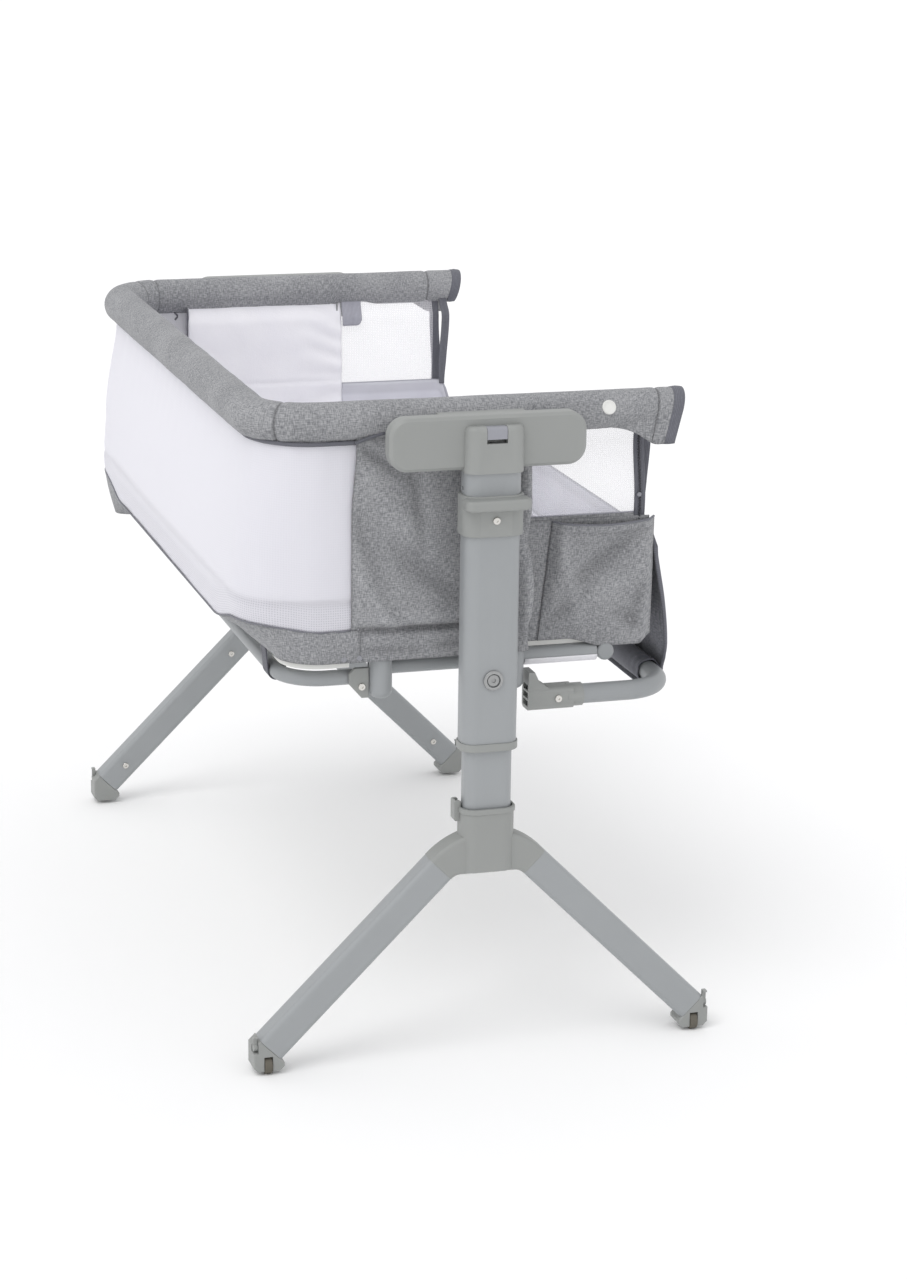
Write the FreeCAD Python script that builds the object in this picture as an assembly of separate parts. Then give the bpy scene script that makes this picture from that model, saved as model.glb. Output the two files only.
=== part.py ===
import FreeCAD, Part
import math
import os
from FreeCAD import Vector

# Bedside bassinet on a two-post stand.  Millimetres, +Z up.
# Origin on the floor at the middle of the stand.  X runs across the crib, with the
# open bedside edge at +X.  Y runs along the crib, and the near end is at -Y.
# Near-end pieces are modelled and the far end is their mirror image.

# Driving sizes of the whole crib
rim_x = -232.0            # rim line on the closed side
rim_y = 417.0             # rim line at each end, from the middle of the crib
rim_z = 700.0             # rim line above the floor
open_side_x = 209.0       # outer face of the low wall on the bedside edge
frame_z = 424.0           # centre line of the bottom frame
fabric = 2.0              # thickness of every fabric solid
seat_gap = 0.1            # between faces that touch
half_angle = math.sqrt(0.5)

# Legs, which splay at 45 degrees
leg_width = 34.0          # in the plane of the two legs
leg_depth = 28.0          # along Y
leg_corner = 6.0
leg_wall = 1.6
leg_length = 267.3        # between the hub seam and the foot seam
leg_drop = leg_length * half_angle
leg_half = leg_width / 2 * half_angle
spigot_length = 30.0
spigot_gap = 0.4
leg_screw_inset_top = 24.0
leg_screw_inset_foot = 34.0

# Hub
hub_seam_x = 53.0         # leg meets the hub here
foot_seam_z = 28.0        # leg meets the foot at this height
hub_seam_z = foot_seam_z + leg_drop
hub_round = 5.0
hub_bottom_z = hub_seam_z - leg_half + 4.52
hub_shoulder_z = hub_seam_z + leg_half + 22.98
socket_top_z = hub_seam_z + 67.0
socket_lip = 1.3
lip_height = 6.0
tab_reach = 6.0
tab_width = 14.0
tab_height = 23.0
tab_wall = 3.0

# Telescopic post
post_y = rim_y + 58.0     # post centre from the middle of the crib
outer_width = 62.0
outer_depth = 38.0
outer_corner = 15.0
outer_wall = 2.0
outer_bottom_z = 358.0
outer_top_z = rim_z - 40.0
slide_gap = 0.3           # clearance of each sliding fit
ring_wall = 1.85          # guide ring's sleeve between the two tubes
ring_lip = 1.5
ring_lip_height = 9.0
ring_sleeve_height = 27.0
tube_step = outer_wall + seat_gap + ring_wall + slide_gap
lower_width = outer_width - 2 * tube_step
lower_depth = outer_depth - 2 * tube_step
lower_corner = outer_corner - 3.0
lower_wall = 1.8
lower_bottom_z = hub_seam_z - 2.0
lower_length = 305.0
socket_gap = 0.15
socket_wall = 3.25
socket_width = lower_width + 2 * socket_wall
socket_depth = lower_depth + 2 * socket_wall + 2.0
socket_corner = lower_corner + 3.0
gutter = 2.0              # recess round the lower tube in the socket's mouth
gutter_depth = 22.0
bolt_z = outer_bottom_z + 71.0
bolt_ring_radius = 11.0
bolt_ring_bore = 7.6
bolt_head_radius = 6.6
bolt_socket_radius = 2.6
bolt_shank_radius = 4.0
side_hole_radius = 2.5
side_hole_z = outer_top_z - 24.0

# Release collar and its slider
collar_wall = 3.0
collar_width = outer_width + 2 * collar_wall
collar_depth = outer_depth + 2 * collar_wall
collar_corner = outer_corner + 2.0
collar_bottom_z = outer_top_z - 74.0
collar_top_z = outer_top_z - 30.0
collar_travel = 12.0
collar_screw_z = collar_bottom_z + 18.0
ledge_half_width = collar_width / 2 + 2.0
ledge_reach = 14.0        # beyond the collar's front
ledge_height = 12.0
ledge_drop = 1.5          # below the collar's top
ledge_corner = 8.0
ledge_round = 3.5
slider_half_width = outer_width / 2 - 13.0
slider_half_height = 7.0
slider_inset = 7.0        # behind the post's front wall

# Screws
screw_radius = 2.0
screw_head_radius = 4.2
screw_head_height = 2.2
screw_head_round = 1.2
screw_recess_radius = 1.4
screw_seat = 0.05
stub = 0.02               # shank of a screw whose hole isn't modelled

# Head bracket
cap_width = outer_width + 3.0
cap_depth = outer_depth + 4.0
cap_corner = 13.0
cap_round = 6.0
cap_bottom_z = outer_top_z - 6.0
cap_top_z = outer_top_z + 44.0
plate_x = -5.0            # middle of the head plate
plate_width = 216.0
plate_bottom_z = rim_z - 43.0
plate_top_z = rim_z + 14.0
plate_thickness = 18.0
plate_front = 9.0         # plate front beyond the post centre
plate_corner = 20.0
plate_chamfer = 3.5
arm_half_height = 10.0    # arm from the plate to the rim tube
arm_left_x = -50.0
button_half_width = 11.0
button_height = 18.0
button_back = 10.0        # from the post centre
button_travel = 4.0
button_gap = 0.4

# Uprights and bottom frame
upright_left_x = -103.0
upright_right_x = 46.0
upright_radius = 10.0
tube_wall = 1.2           # wall of every round frame tube
fitting_radius = 12.5
fitting_bottom_z = frame_z - 28.0
fitting_top_z = frame_z + 21.0
fitting_round = 8.0
boss_radius = 8.0
cross_tube_radius = 10.0
cross_tube_y = rim_y - 26.0
side_tube_x = open_side_x - 49.0
side_tube_round = 3.0
vent_radius = 2.0
corner_tube_radius = 8.5
corner_tube_y = rim_y - 12.0
corner_tube_z = frame_z - 6.5
corner_tube_bend = 45.0
clamp_thickness = 4.0
clamp_length = 22.0
clamp_top_z = frame_z + 6.0
clamp_height = 34.0
clamp_screw_z = clamp_top_z - 21.0

# Rim
rim_bend = 60.0
rim_tube_radius = 11.0
rim_roll_radius = 21.0
rim_arm_end_x = upright_right_x + upright_radius
arm_right_x = rim_arm_end_x - 10.0
cover_gap = 0.2
channel_start_x = rim_arm_end_x + 3.0
channel_end_x = open_side_x + 23.0
channel_wall = 5.0
channel_bore = rim_roll_radius - channel_wall
cuff_start_x = channel_end_x - 36.0
cuff_bottom_z = rim_z - 35.0

# Fabric walls, board and mattress
board_gap = 0.2
board_thickness = 6.0
mattress_gap = 0.1
mattress_thickness = 54.0
mattress_round = 8.0
fabric_bottom_z = frame_z + 17.0
band_top_z = fabric_bottom_z + 34.5
low_side_top_z = frame_z + 133.0
low_end_top_z = low_side_top_z + 19.0
wall_top_z = rim_z - 5.0
mesh_top_z = rim_z - rim_roll_radius + 0.6
under_rim_z = rim_z - rim_roll_radius - 1.0
wall_y = rim_y - rim_roll_radius              # outer face of the inboard end walls
panel_y = rim_y + fitting_radius + 1.0 + fabric   # outer face of the outer end panels
panel_left_x = upright_left_x - 35.5
panel_right_x = upright_right_x + fitting_radius + 0.5 + fabric
window_start_x = upright_right_x + fitting_radius + 5.0
window_end_x = open_side_x - 19.0
side_x = rim_x - 9.0      # outer face of the closed side
side_bend = 68.0
side_tuck = 28.0          # the band slopes in by this much under the closed side
tuck_bend = 46.0
open_side_bend = 18.0
corner_tube_x = side_x + 36.0
tape_width = 7.8
tape_drop = 8.0

# Drop rail, lowered
rail_z = frame_z - 41.0
rail_x = open_side_x + 21.0
rail_radius = 11.0
rail_bend = 50.0
rail_fitting_x = upright_right_x + 16.0
rail_start_x = rail_fitting_x + 46.0
rail_fitting_end_x = rail_start_x + 18.0
rail_fitting_half = rail_radius + 1.5
rail_fitting_round = 5.0
rail_collar_wall = 1.9
rail_horn_top_z = rail_z + 31.0
rail_screw_inset = 12.0
sleeve_radius = rail_radius + 3.0
sleeve_half_length = rim_y - rail_bend - 15.0
slot_count = 3
slot_pitch = 9.0
slot_height = 6.5
slot_depth = 14.0
slot_half_width = 8.0

# Pocket, on the near end beside the rail's path
pocket_left_x = upright_right_x + 22.0
pocket_right_x = window_end_x
pocket_top_z = low_end_top_z - 6.0
pocket_outer_y = rim_y - rail_fitting_half - 1.2

# Wheels, feet and brake levers
foot_seam_x = hub_seam_x + leg_drop
wheel_x = foot_seam_x + 3.0
wheel_y = post_y + 6.5
wheel_radius = 10.0
wheel_width = 8.5
wheel_round = 1.2
wheel_slot_gap = 0.6
axle_radius = 2.0
running_gap = 0.06
foot_outer_x = foot_seam_x + 19.5
foot_bottom_z = 4.0
foot_corner = 5.0
foot_round = 1.5
lever_x = foot_outer_x - 3.0
lever_z = foot_seam_z + 3.0
lever_width = 4.4
lever_gap = 0.4
lever_hub_radius = 4.0
lever_pin_radius = 1.5
lever_arm_height = 14.0
lever_arm_half = 1.5
thumb_thickness = 2.0
thumb_reach = 5.0


def block(x0, x1, y0, y1, z0, z1):
    return Part.makeBox(x1 - x0, y1 - y0, z1 - z0, Vector(x0, y0, z0))


def rod(radius, start, end):
    start = Vector(*start)
    axis = Vector(*end) - start
    return Part.makeCylinder(radius, axis.Length, start, axis)


def pipe(radius, wall, start, end):
    axis = (Vector(*end) - Vector(*start)).normalize()
    return rod(radius, start, end).cut(rod(radius - wall, Vector(*start) - axis, Vector(*end) + axis))


def edges_along(shape, direction):
    found = []
    for edge in shape.Edges:
        if edge.Curve.TypeId == "Part::GeomLine":
            run = edge.Vertexes[-1].Point - edge.Vertexes[0].Point
            if abs(run.normalize().dot(direction)) > 0.999:
                found.append(edge)
    return found


def edges_at(shape, axis, value):
    return [edge for edge in shape.Edges
            if all(abs(vertex.Point[axis] - value) < 0.001 for vertex in edge.Vertexes)]


def post_prism(width, depth, corner, z0, z1, y=-post_y):
    prism = block(-width / 2, width / 2, y - depth / 2, y + depth / 2, z0, z1)
    return prism.makeFillet(corner, edges_along(prism, Vector(0, 0, 1)))


def post_sleeve(width, depth, corner, hole_width, hole_depth, hole_corner, z0, z1):
    outside = post_prism(width, depth, corner, z0, z1)
    return outside.cut(post_prism(hole_width, hole_depth, hole_corner, z0 - 1, z1 + 1))


def outline_prism(points, y0, y1):
    wire = Part.makePolygon([Vector(x, y0, z) for x, z in points + points[:1]])
    return Part.Face(wire).extrude(Vector(0, y1 - y0, 0))


def mirror_x(shape):
    return shape.mirror(Vector(0, 0, 0), Vector(1, 0, 0))


def mirror_y(shape):
    return shape.mirror(Vector(0, 0, 0), Vector(0, 1, 0))


def both_ends(solids):
    return solids + [mirror_y(solid) for solid in solids]


def save(name, solids):
    shape = solids[0] if len(solids) == 1 else Part.makeCompound(solids)
    shape.exportStep("parts/" + name + ".step")


def screw(x, y, z, shank, outward):
    """A pan-head screw seated at y, with its head towards outward (-1 or 1)."""
    head = rod(screw_head_radius, (x, y, z), (x, y + outward * screw_head_height, z))
    rim = edges_at(head, 1, y + outward * screw_head_height)
    head = head.makeFillet(screw_head_round, rim)
    recess = rod(screw_recess_radius, (x, y + outward * 0.9, z), (x, y + outward * 4, z))
    body = rod(screw_radius, (x, y, z), (x, y - outward * shank, z))
    return head.cut(recess).fuse(body).removeSplitter()


# Stand ----------------------------------------------------------------------

def place_on_leg(shape, side):
    """Turns a shape built down +Z from the hub seam onto the right or left leg."""
    placed = shape.copy()
    placed.rotate(Vector(0, 0, 0), Vector(0, 1, 0), 135)
    placed.translate(Vector(hub_seam_x, -post_y, hub_seam_z))
    return placed if side > 0 else mirror_x(placed)


def leg_section(width, depth, corner, z0, z1):
    section = block(-width / 2, width / 2, -depth / 2, depth / 2, z0, z1)
    return section.makeFillet(corner, edges_along(section, Vector(0, 0, 1)))


def leg_spigot(z0, z1):
    shrink = 2 * (leg_wall + spigot_gap)
    return leg_section(leg_width - shrink, leg_depth - shrink, leg_corner - leg_wall, z0, z1)


def leg_tube(side):
    outside = leg_section(leg_width, leg_depth, leg_corner, seat_gap, leg_length - seat_gap)
    inside = leg_section(leg_width - 2 * leg_wall, leg_depth - 2 * leg_wall,
                         leg_corner - leg_wall, -1, leg_length + 1)
    return place_on_leg(outside.cut(inside), side)


def to_left(point):
    return Vector(-point.x, 0, point.z)


def hub_outline():
    top = Vector(hub_seam_x + leg_half, 0, hub_seam_z + leg_half)
    low = Vector(hub_seam_x - leg_half, 0, hub_seam_z - leg_half)
    # A round of this radius is tangent to the flat bottom and to the leg's underside.
    blend = (hub_bottom_z - low.z) / (1 - half_angle)
    centre = Vector(low.x - blend * half_angle, 0, hub_bottom_z - blend)
    turn = math.radians(67.5)
    middle = centre + Vector(blend * math.cos(turn), 0, blend * math.sin(turn))
    flat_end = Vector(centre.x, 0, hub_bottom_z)
    shoulder = Vector(socket_width / 2, 0, hub_shoulder_z)
    bulge = (top + shoulder) * 0.5 + Vector(1.4, 0, 1.9)
    edges = [
        Part.makeLine(to_left(flat_end), flat_end),
        Part.Arc(flat_end, middle, low).toShape(),
        Part.makeLine(low, top),
        Part.Arc(top, bulge, shoulder).toShape(),
        Part.makeLine(shoulder, to_left(shoulder)),
        Part.Arc(to_left(shoulder), to_left(bulge), to_left(top)).toShape(),
        Part.makeLine(to_left(top), to_left(low)),
        Part.Arc(to_left(low), to_left(middle), to_left(flat_end)).toShape(),
    ]
    return Part.Wire(edges)


def cable_tab():
    """A small hollow tab that stands up beside the socket."""
    x1 = -socket_width / 2
    y0 = -post_y - 2
    z1 = socket_top_z + 7
    tab = block(x1 - tab_reach, x1 + 1, y0, y0 + tab_width, z1 - tab_height, z1)
    tab = tab.makeFillet(2, edges_along(tab, Vector(0, 1, 0)))
    return tab.cut(block(x1 - tab_reach + 2, x1 + 2, y0 + tab_wall, y0 + tab_width - tab_wall,
                         z1 - 15, z1 + 1))


def hub():
    face = Part.Face(hub_outline())
    arms = face.extrude(Vector(0, leg_depth, 0))
    arms.translate(Vector(0, -post_y - leg_depth / 2, 0))
    long_edges = []
    for y in (-post_y - leg_depth / 2, -post_y + leg_depth / 2):
        for edge in edges_at(arms, 1, y):
            middle = edge.valueAt((edge.FirstParameter + edge.LastParameter) / 2)
            on_seam = abs(abs(middle.x) - hub_seam_x) < 1 and abs(middle.z - hub_seam_z) < 1
            if not on_seam and middle.z < hub_shoulder_z - 1:
                long_edges.append(edge)
    arms = arms.makeFillet(hub_round, long_edges)
    socket = post_prism(socket_width, socket_depth, socket_corner,
                        hub_bottom_z + 3, socket_top_z)
    lip = post_prism(socket_width + 2 * socket_lip, socket_depth + 2 * socket_lip,
                     socket_corner + socket_lip, socket_top_z - lip_height, socket_top_z)
    lip_edges = edges_at(lip, 2, socket_top_z) + edges_at(lip, 2, socket_top_z - lip_height)
    lip = lip.makeFillet(socket_lip - 0.1, lip_edges)
    body = arms.fuse([socket, lip, cable_tab()])
    fit = 2 * socket_gap
    body = body.cut(post_prism(lower_width + fit, lower_depth + fit, lower_corner + socket_gap,
                               lower_bottom_z - seat_gap, socket_top_z + 10))
    body = body.cut(post_prism(lower_width + 2 * gutter, lower_depth + 2 * gutter,
                               lower_corner + gutter, socket_top_z - gutter_depth,
                               socket_top_z + 10))
    spigots = [place_on_leg(leg_spigot(-2, spigot_length), side) for side in (-1, 1)]
    return body.fuse(spigots).removeSplitter()


def foot_outline():
    inner_x = foot_seam_x - leg_half
    inner_z = foot_seam_z - leg_half
    outer_x = foot_seam_x + leg_half
    slope = foot_outer_x - outer_x
    return [
        (inner_x, inner_z),
        (outer_x, foot_seam_z + leg_half),
        (foot_outer_x, foot_seam_z + leg_half - slope),
        (foot_outer_x, foot_bottom_z + foot_corner),
        (foot_outer_x - foot_corner, foot_bottom_z),
        (inner_x + 2, foot_bottom_z),
        (inner_x - 3, foot_bottom_z + foot_corner),
        (inner_x - 3, inner_z - 3),
    ]


def foot_cap(side):
    cap = outline_prism(foot_outline(), -post_y - leg_depth / 2, -post_y + leg_depth / 2)
    rounded = []
    for y in (-post_y - leg_depth / 2, -post_y + leg_depth / 2):
        for edge in edges_at(cap, 1, y):
            middle = edge.valueAt((edge.FirstParameter + edge.LastParameter) / 2)
            if abs(middle.x - foot_seam_x) + abs(middle.z - foot_seam_z) > 1:
                rounded.append(edge)
    cap = cap.makeFillet(foot_round, rounded)
    cap = cap.fuse(place_on_leg(leg_spigot(leg_length - spigot_length, leg_length + 2), 1))
    slot = wheel_width / 2 + wheel_slot_gap
    cap = cap.cut(block(wheel_x - slot, wheel_x + slot, -post_y - leg_depth,
                        -wheel_y + wheel_radius + 1, -1, 2 * wheel_radius + 1.2))
    cap = cap.cut(block(lever_x - lever_width / 2 - lever_gap, foot_outer_x + 1, -post_y - leg_depth,
                        -wheel_y + lever_hub_radius + 1, lever_z - lever_hub_radius - 1,
                        lever_z + 20))
    axle = rod(axle_radius, (wheel_x - slot - 1, -wheel_y, wheel_radius),
               (wheel_x + slot + 1, -wheel_y, wheel_radius))
    pin = rod(lever_pin_radius, (lever_x - lever_width / 2 - 4, -wheel_y, lever_z),
              (lever_x + lever_width / 2, -wheel_y, lever_z))
    cap = cap.fuse([axle, pin]).removeSplitter()
    return cap if side > 0 else mirror_x(cap)


def wheel(side):
    x0 = wheel_x - wheel_width / 2
    x1 = wheel_x + wheel_width / 2
    tyre = rod(wheel_radius, (x0, -wheel_y, wheel_radius), (x1, -wheel_y, wheel_radius))
    tyre = tyre.makeFillet(wheel_round, edges_at(tyre, 0, x0) + edges_at(tyre, 0, x1))
    bore = rod(axle_radius + running_gap, (x0 - 1, -wheel_y, wheel_radius),
               (x1 + 1, -wheel_y, wheel_radius))
    tyre = tyre.cut(bore)
    return tyre if side > 0 else mirror_x(tyre)


def brake_lever(side):
    x0 = lever_x - lever_width / 2
    x1 = lever_x + lever_width / 2
    top_z = lever_z + lever_arm_height
    boss = rod(lever_hub_radius, (x0, -wheel_y, lever_z), (x1, -wheel_y, lever_z))
    arm = block(x0, x1, -wheel_y - lever_arm_half, -wheel_y + lever_arm_half, lever_z, top_z)
    thumb = block(x0, x1, -wheel_y - thumb_reach, -wheel_y + lever_arm_half,
                  top_z - thumb_thickness, top_z)
    bore = rod(lever_pin_radius + running_gap, (x0 - 1, -wheel_y, lever_z),
               (x1 + 1, -wheel_y, lever_z))
    lever = boss.fuse([arm, thumb]).cut(bore).removeSplitter()
    return lever if side > 0 else mirror_x(lever)


def lower_tube():
    return post_sleeve(lower_width, lower_depth, lower_corner,
                       lower_width - 2 * lower_wall, lower_depth - 2 * lower_wall,
                       lower_corner - lower_wall, lower_bottom_z, lower_bottom_z + lower_length)


def leg_screws():
    """Two screws on the inward face of each leg."""
    inner_y = -post_y + leg_depth / 2
    solids = []
    for side in (-1, 1):
        for distance in (leg_screw_inset_top, leg_length - leg_screw_inset_foot):
            x = hub_seam_x + distance * half_angle
            z = hub_seam_z - distance * half_angle
            solids.append(screw(side * x, inner_y + screw_seat, z, stub, 1))
    return solids


# Telescopic post ------------------------------------------------------------

def outer_tube():
    front = -post_y - outer_depth / 2
    tube = post_sleeve(outer_width, outer_depth, outer_corner,
                       outer_width - 2 * outer_wall, outer_depth - 2 * outer_wall,
                       outer_corner - outer_wall, outer_bottom_z, outer_top_z)
    half = screw_radius + slide_gap
    slot = block(-half, half, front - 1, front + outer_wall + 1,
                 collar_screw_z - half, collar_screw_z + collar_travel + half)
    side = -outer_width / 2
    hole = rod(side_hole_radius, (side - 1, -post_y, side_hole_z), (side + 5, -post_y, side_hole_z))
    bolt_hole = rod(bolt_shank_radius + 0.2, (0, front - 1, bolt_z), (0, front + outer_wall + 1, bolt_z))
    return tube.cut([slot, hole, bolt_hole])


def guide_ring():
    ring_z = outer_bottom_z - ring_lip_height
    lip = post_prism(outer_width + 2 * ring_lip, outer_depth + 2 * ring_lip,
                     outer_corner + ring_lip, ring_z, outer_bottom_z - seat_gap)
    lip = lip.makeFillet(ring_lip, edges_at(lip, 2, ring_z))
    inner = 2 * (outer_wall + seat_gap)
    top_z = outer_bottom_z + ring_sleeve_height
    sleeve = post_prism(outer_width - inner, outer_depth - inner, outer_corner - outer_wall,
                        outer_bottom_z - 1, top_z)
    hole = post_prism(lower_width + 2 * slide_gap, lower_depth + 2 * slide_gap,
                      lower_corner + slide_gap, ring_z - 1, top_z + 1)
    return lip.fuse(sleeve).cut(hole).removeSplitter()


def post_bolt():
    front = -post_y - outer_depth / 2
    seat = front - screw_seat
    ring = rod(bolt_ring_radius, (0, seat, bolt_z), (0, front - 2.8, bolt_z))
    ring = ring.makeFillet(1.0, edges_at(ring, 1, front - 2.8))
    ring = ring.cut(rod(bolt_ring_bore, (0, front + 1, bolt_z), (0, front - 4, bolt_z)))
    head = rod(bolt_head_radius, (0, seat, bolt_z), (0, front - 2.0, bolt_z))
    head = head.makeFillet(0.8, edges_at(head, 1, front - 2.0))
    head = head.cut(rod(bolt_socket_radius, (0, front - 0.8, bolt_z), (0, front - 3, bolt_z)))
    shank = rod(bolt_shank_radius, (0, seat, bolt_z), (0, front + outer_wall - 0.2, bolt_z))
    return [ring, head.fuse(shank).removeSplitter()]


def is_level(edge):
    return abs(edge.Vertexes[0].Point.z - edge.Vertexes[-1].Point.z) < 0.01


def pull_ledge(front):
    z1 = collar_top_z - ledge_drop
    ledge = block(-ledge_half_width, ledge_half_width, front - ledge_reach, front + 6,
                  z1 - ledge_height, z1)
    ledge = ledge.makeFillet(ledge_corner, [edge for edge in edges_along(ledge, Vector(0, 0, 1))
                                            if edge.Vertexes[0].Point.y < front])
    rims = [edge for edge in ledge.Edges
            if is_level(edge) and max(vertex.Point.y for vertex in edge.Vertexes) < front + 5]
    return ledge.makeFillet(ledge_round, rims)


def release_collar():
    front = -post_y - collar_depth / 2
    body = post_prism(collar_width, collar_depth, collar_corner, collar_bottom_z, collar_top_z)
    rims = edges_at(body, 2, collar_bottom_z) + edges_at(body, 2, collar_top_z)
    body = body.makeFillet(collar_wall / 2, rims).fuse(pull_ledge(front))
    body = body.cut(post_prism(outer_width + 2 * slide_gap, outer_depth + 2 * slide_gap,
                               outer_corner + slide_gap, collar_bottom_z - 1, collar_top_z + 1))
    hole = rod(screw_radius + 0.1, (0, front - 1, collar_screw_z), (0, front + 6, collar_screw_z))
    return body.cut(hole).removeSplitter()


def latch_slider():
    """The block pulled up inside the post, and the screw that ties it to the collar."""
    seat = -post_y - collar_depth / 2 - screw_seat
    face = -post_y - outer_depth / 2 + outer_wall + slider_inset
    slider = block(-slider_half_width, slider_half_width, face, -post_y + outer_depth / 4,
                   collar_screw_z - slider_half_height, collar_screw_z + slider_half_height)
    slider = slider.makeFillet(3, edges_along(slider, Vector(0, 0, 1)))
    return [slider, screw(0, seat, collar_screw_z, face - seat, -1)]


# Head bracket ---------------------------------------------------------------

def head_bracket():
    front = -post_y - plate_front
    plate = block(plate_x - plate_width / 2, plate_x + plate_width / 2, front,
                  front + plate_thickness, plate_bottom_z, plate_top_z)
    plate = plate.makeFillet(plate_corner, edges_along(plate, Vector(0, 1, 0)))
    plate = plate.makeChamfer(plate_chamfer, edges_at(plate, 1, front))
    cap = post_prism(cap_width, cap_depth, cap_corner, cap_bottom_z, cap_top_z)
    cap = cap.makeFillet(cap_round, edges_at(cap, 2, cap_top_z))
    arm = block(arm_left_x, arm_right_x, front + plate_thickness - 1, -rim_y,
                rim_z - arm_half_height, rim_z + arm_half_height)
    arm = arm.cut(rod(rim_tube_radius + seat_gap, (arm_left_x - 1, -rim_y, rim_z),
                      (arm_right_x + 1, -rim_y, rim_z)))
    body = plate.fuse([cap, arm])
    body = body.cut(post_prism(outer_width + 2 * socket_gap, outer_depth + 2 * socket_gap,
                               outer_corner + socket_gap, cap_bottom_z - 1, outer_top_z + seat_gap))
    well = button_half_width + button_gap
    body = body.cut(block(-well, well, -post_y - cap_depth / 2 - 1, -post_y - button_back,
                          cap_top_z - button_height, cap_top_z + 1))
    return body.removeSplitter()


def head_button():
    front = -post_y - cap_depth / 2 + 0.6
    button = block(-button_half_width, button_half_width, front, -post_y - button_back - button_gap,
                   cap_top_z - button_height + button_travel + 0.5, cap_top_z - 0.6)
    corner = [edge for edge in edges_along(button, Vector(1, 0, 0))
              if edge.Vertexes[0].Point.z > cap_top_z - 2 and edge.Vertexes[0].Point.y < front + 1]
    return button.makeFillet(4, corner)


# Rim ------------------------------------------------------------------------

def rim_bend_solid(radius, y_sign):
    """A quarter bend of the rim line in the closed-side corner."""
    centre = Vector(rim_x + rim_bend, y_sign * (rim_y - rim_bend), rim_z)
    ring = Part.makeTorus(rim_bend, radius, centre, Vector(0, 0, 1))
    reach = rim_bend + radius + 1
    y_far = centre.y + y_sign * reach
    quarter = block(centre.x - reach, centre.x, min(centre.y, y_far), max(centre.y, y_far),
                    rim_z - radius - 1, rim_z + radius + 1)
    return ring.common(quarter).Solids[0]


def rim_arm_solid(radius, end_x):
    """One end arm of the rim with its bend, as far as end_x."""
    arm = rod(radius, (rim_x + rim_bend, -rim_y, rim_z), (end_x, -rim_y, rim_z))
    return arm.fuse(rim_bend_solid(radius, -1)).removeSplitter()


def rim_tubes():
    bore = rim_tube_radius - tube_wall
    arm = rim_arm_solid(rim_tube_radius, rim_arm_end_x)
    arm = arm.cut(rim_arm_solid(bore, rim_arm_end_x + 1)).removeSplitter()
    end_y = rim_y - rim_bend - seat_gap
    side = pipe(rim_tube_radius, tube_wall, (rim_x, -end_y, rim_z), (rim_x, end_y, rim_z))
    return both_ends([arm.Solids[0]]) + [side]


def end_rim_cover():
    """A padded roll round the rim arm, cut away where the head bracket's arm comes in."""
    start = (rim_x + rim_bend + seat_gap, -rim_y, rim_z)
    end = (channel_start_x - seat_gap, -rim_y, rim_z)
    roll = pipe(rim_roll_radius, rim_roll_radius - rim_tube_radius - cover_gap, start, end)
    notch = block(arm_left_x - 1, arm_right_x + 1, -rim_y - rim_roll_radius - 1, -rim_y,
                  rim_z - arm_half_height - 0.8, rim_z + arm_half_height + 0.8)
    return roll.cut(notch).removeSplitter()


def rim_sleeve():
    """The roll goes on past the rim arm as a channel, open below, with a longer outer cuff."""
    start = (channel_start_x, -rim_y, rim_z)
    end = (channel_end_x, -rim_y, rim_z)
    roll = pipe(rim_roll_radius, channel_wall, start, end)
    mouth = block(channel_start_x - 1, channel_end_x + 1, -rim_y - channel_bore,
                  -rim_y + channel_bore, rim_z - rim_roll_radius - 1, rim_z)
    flap = block(cuff_start_x, channel_end_x, -rim_y - rim_roll_radius, -rim_y - channel_bore,
                 cuff_bottom_z, rim_z)
    return roll.cut(mouth).fuse(flap).removeSplitter()


def side_rim_cover():
    hole = rim_tube_radius + cover_gap
    end_y = rim_y - rim_bend
    straight = rod(rim_roll_radius, (rim_x, -end_y, rim_z), (rim_x, end_y, rim_z))
    bore = rod(hole, (rim_x, -rim_y, rim_z), (rim_x, rim_y, rim_z))
    ends = [rim_bend_solid(rim_roll_radius, y_sign).cut(rim_bend_solid(hole, y_sign))
            for y_sign in (-1, 1)]
    return straight.cut(bore).fuse(ends).removeSplitter()


# Uprights and bottom frame --------------------------------------------------

def upright(x):
    """A tube under the rim arm and the moulded fitting that closes its foot."""
    tube = pipe(upright_radius, tube_wall, (x, -rim_y, fitting_top_z + seat_gap), (x, -rim_y, rim_z))
    reach = 2 * upright_radius
    tube = tube.cut(rod(rim_roll_radius + 0.3, (x - reach, -rim_y, rim_z), (x + reach, -rim_y, rim_z)))
    fitting = rod(fitting_radius, (x, -rim_y, fitting_bottom_z), (x, -rim_y, fitting_top_z))
    fitting = fitting.makeFillet(fitting_round, edges_at(fitting, 2, fitting_bottom_z))
    boss = rod(boss_radius, (x, -rim_y, frame_z), (x, -cross_tube_y, frame_z))
    saddle = rod(cross_tube_radius + seat_gap, (x - reach, -cross_tube_y, frame_z),
                 (x + reach, -cross_tube_y, frame_z))
    return [tube.Solids[0], fitting.fuse(boss).cut(saddle).removeSplitter().Solids[0]]


def cross_tube():
    return pipe(cross_tube_radius, tube_wall, (upright_left_x - 5, -cross_tube_y, frame_z),
                (side_tube_x - cross_tube_radius - seat_gap, -cross_tube_y, frame_z))


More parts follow.
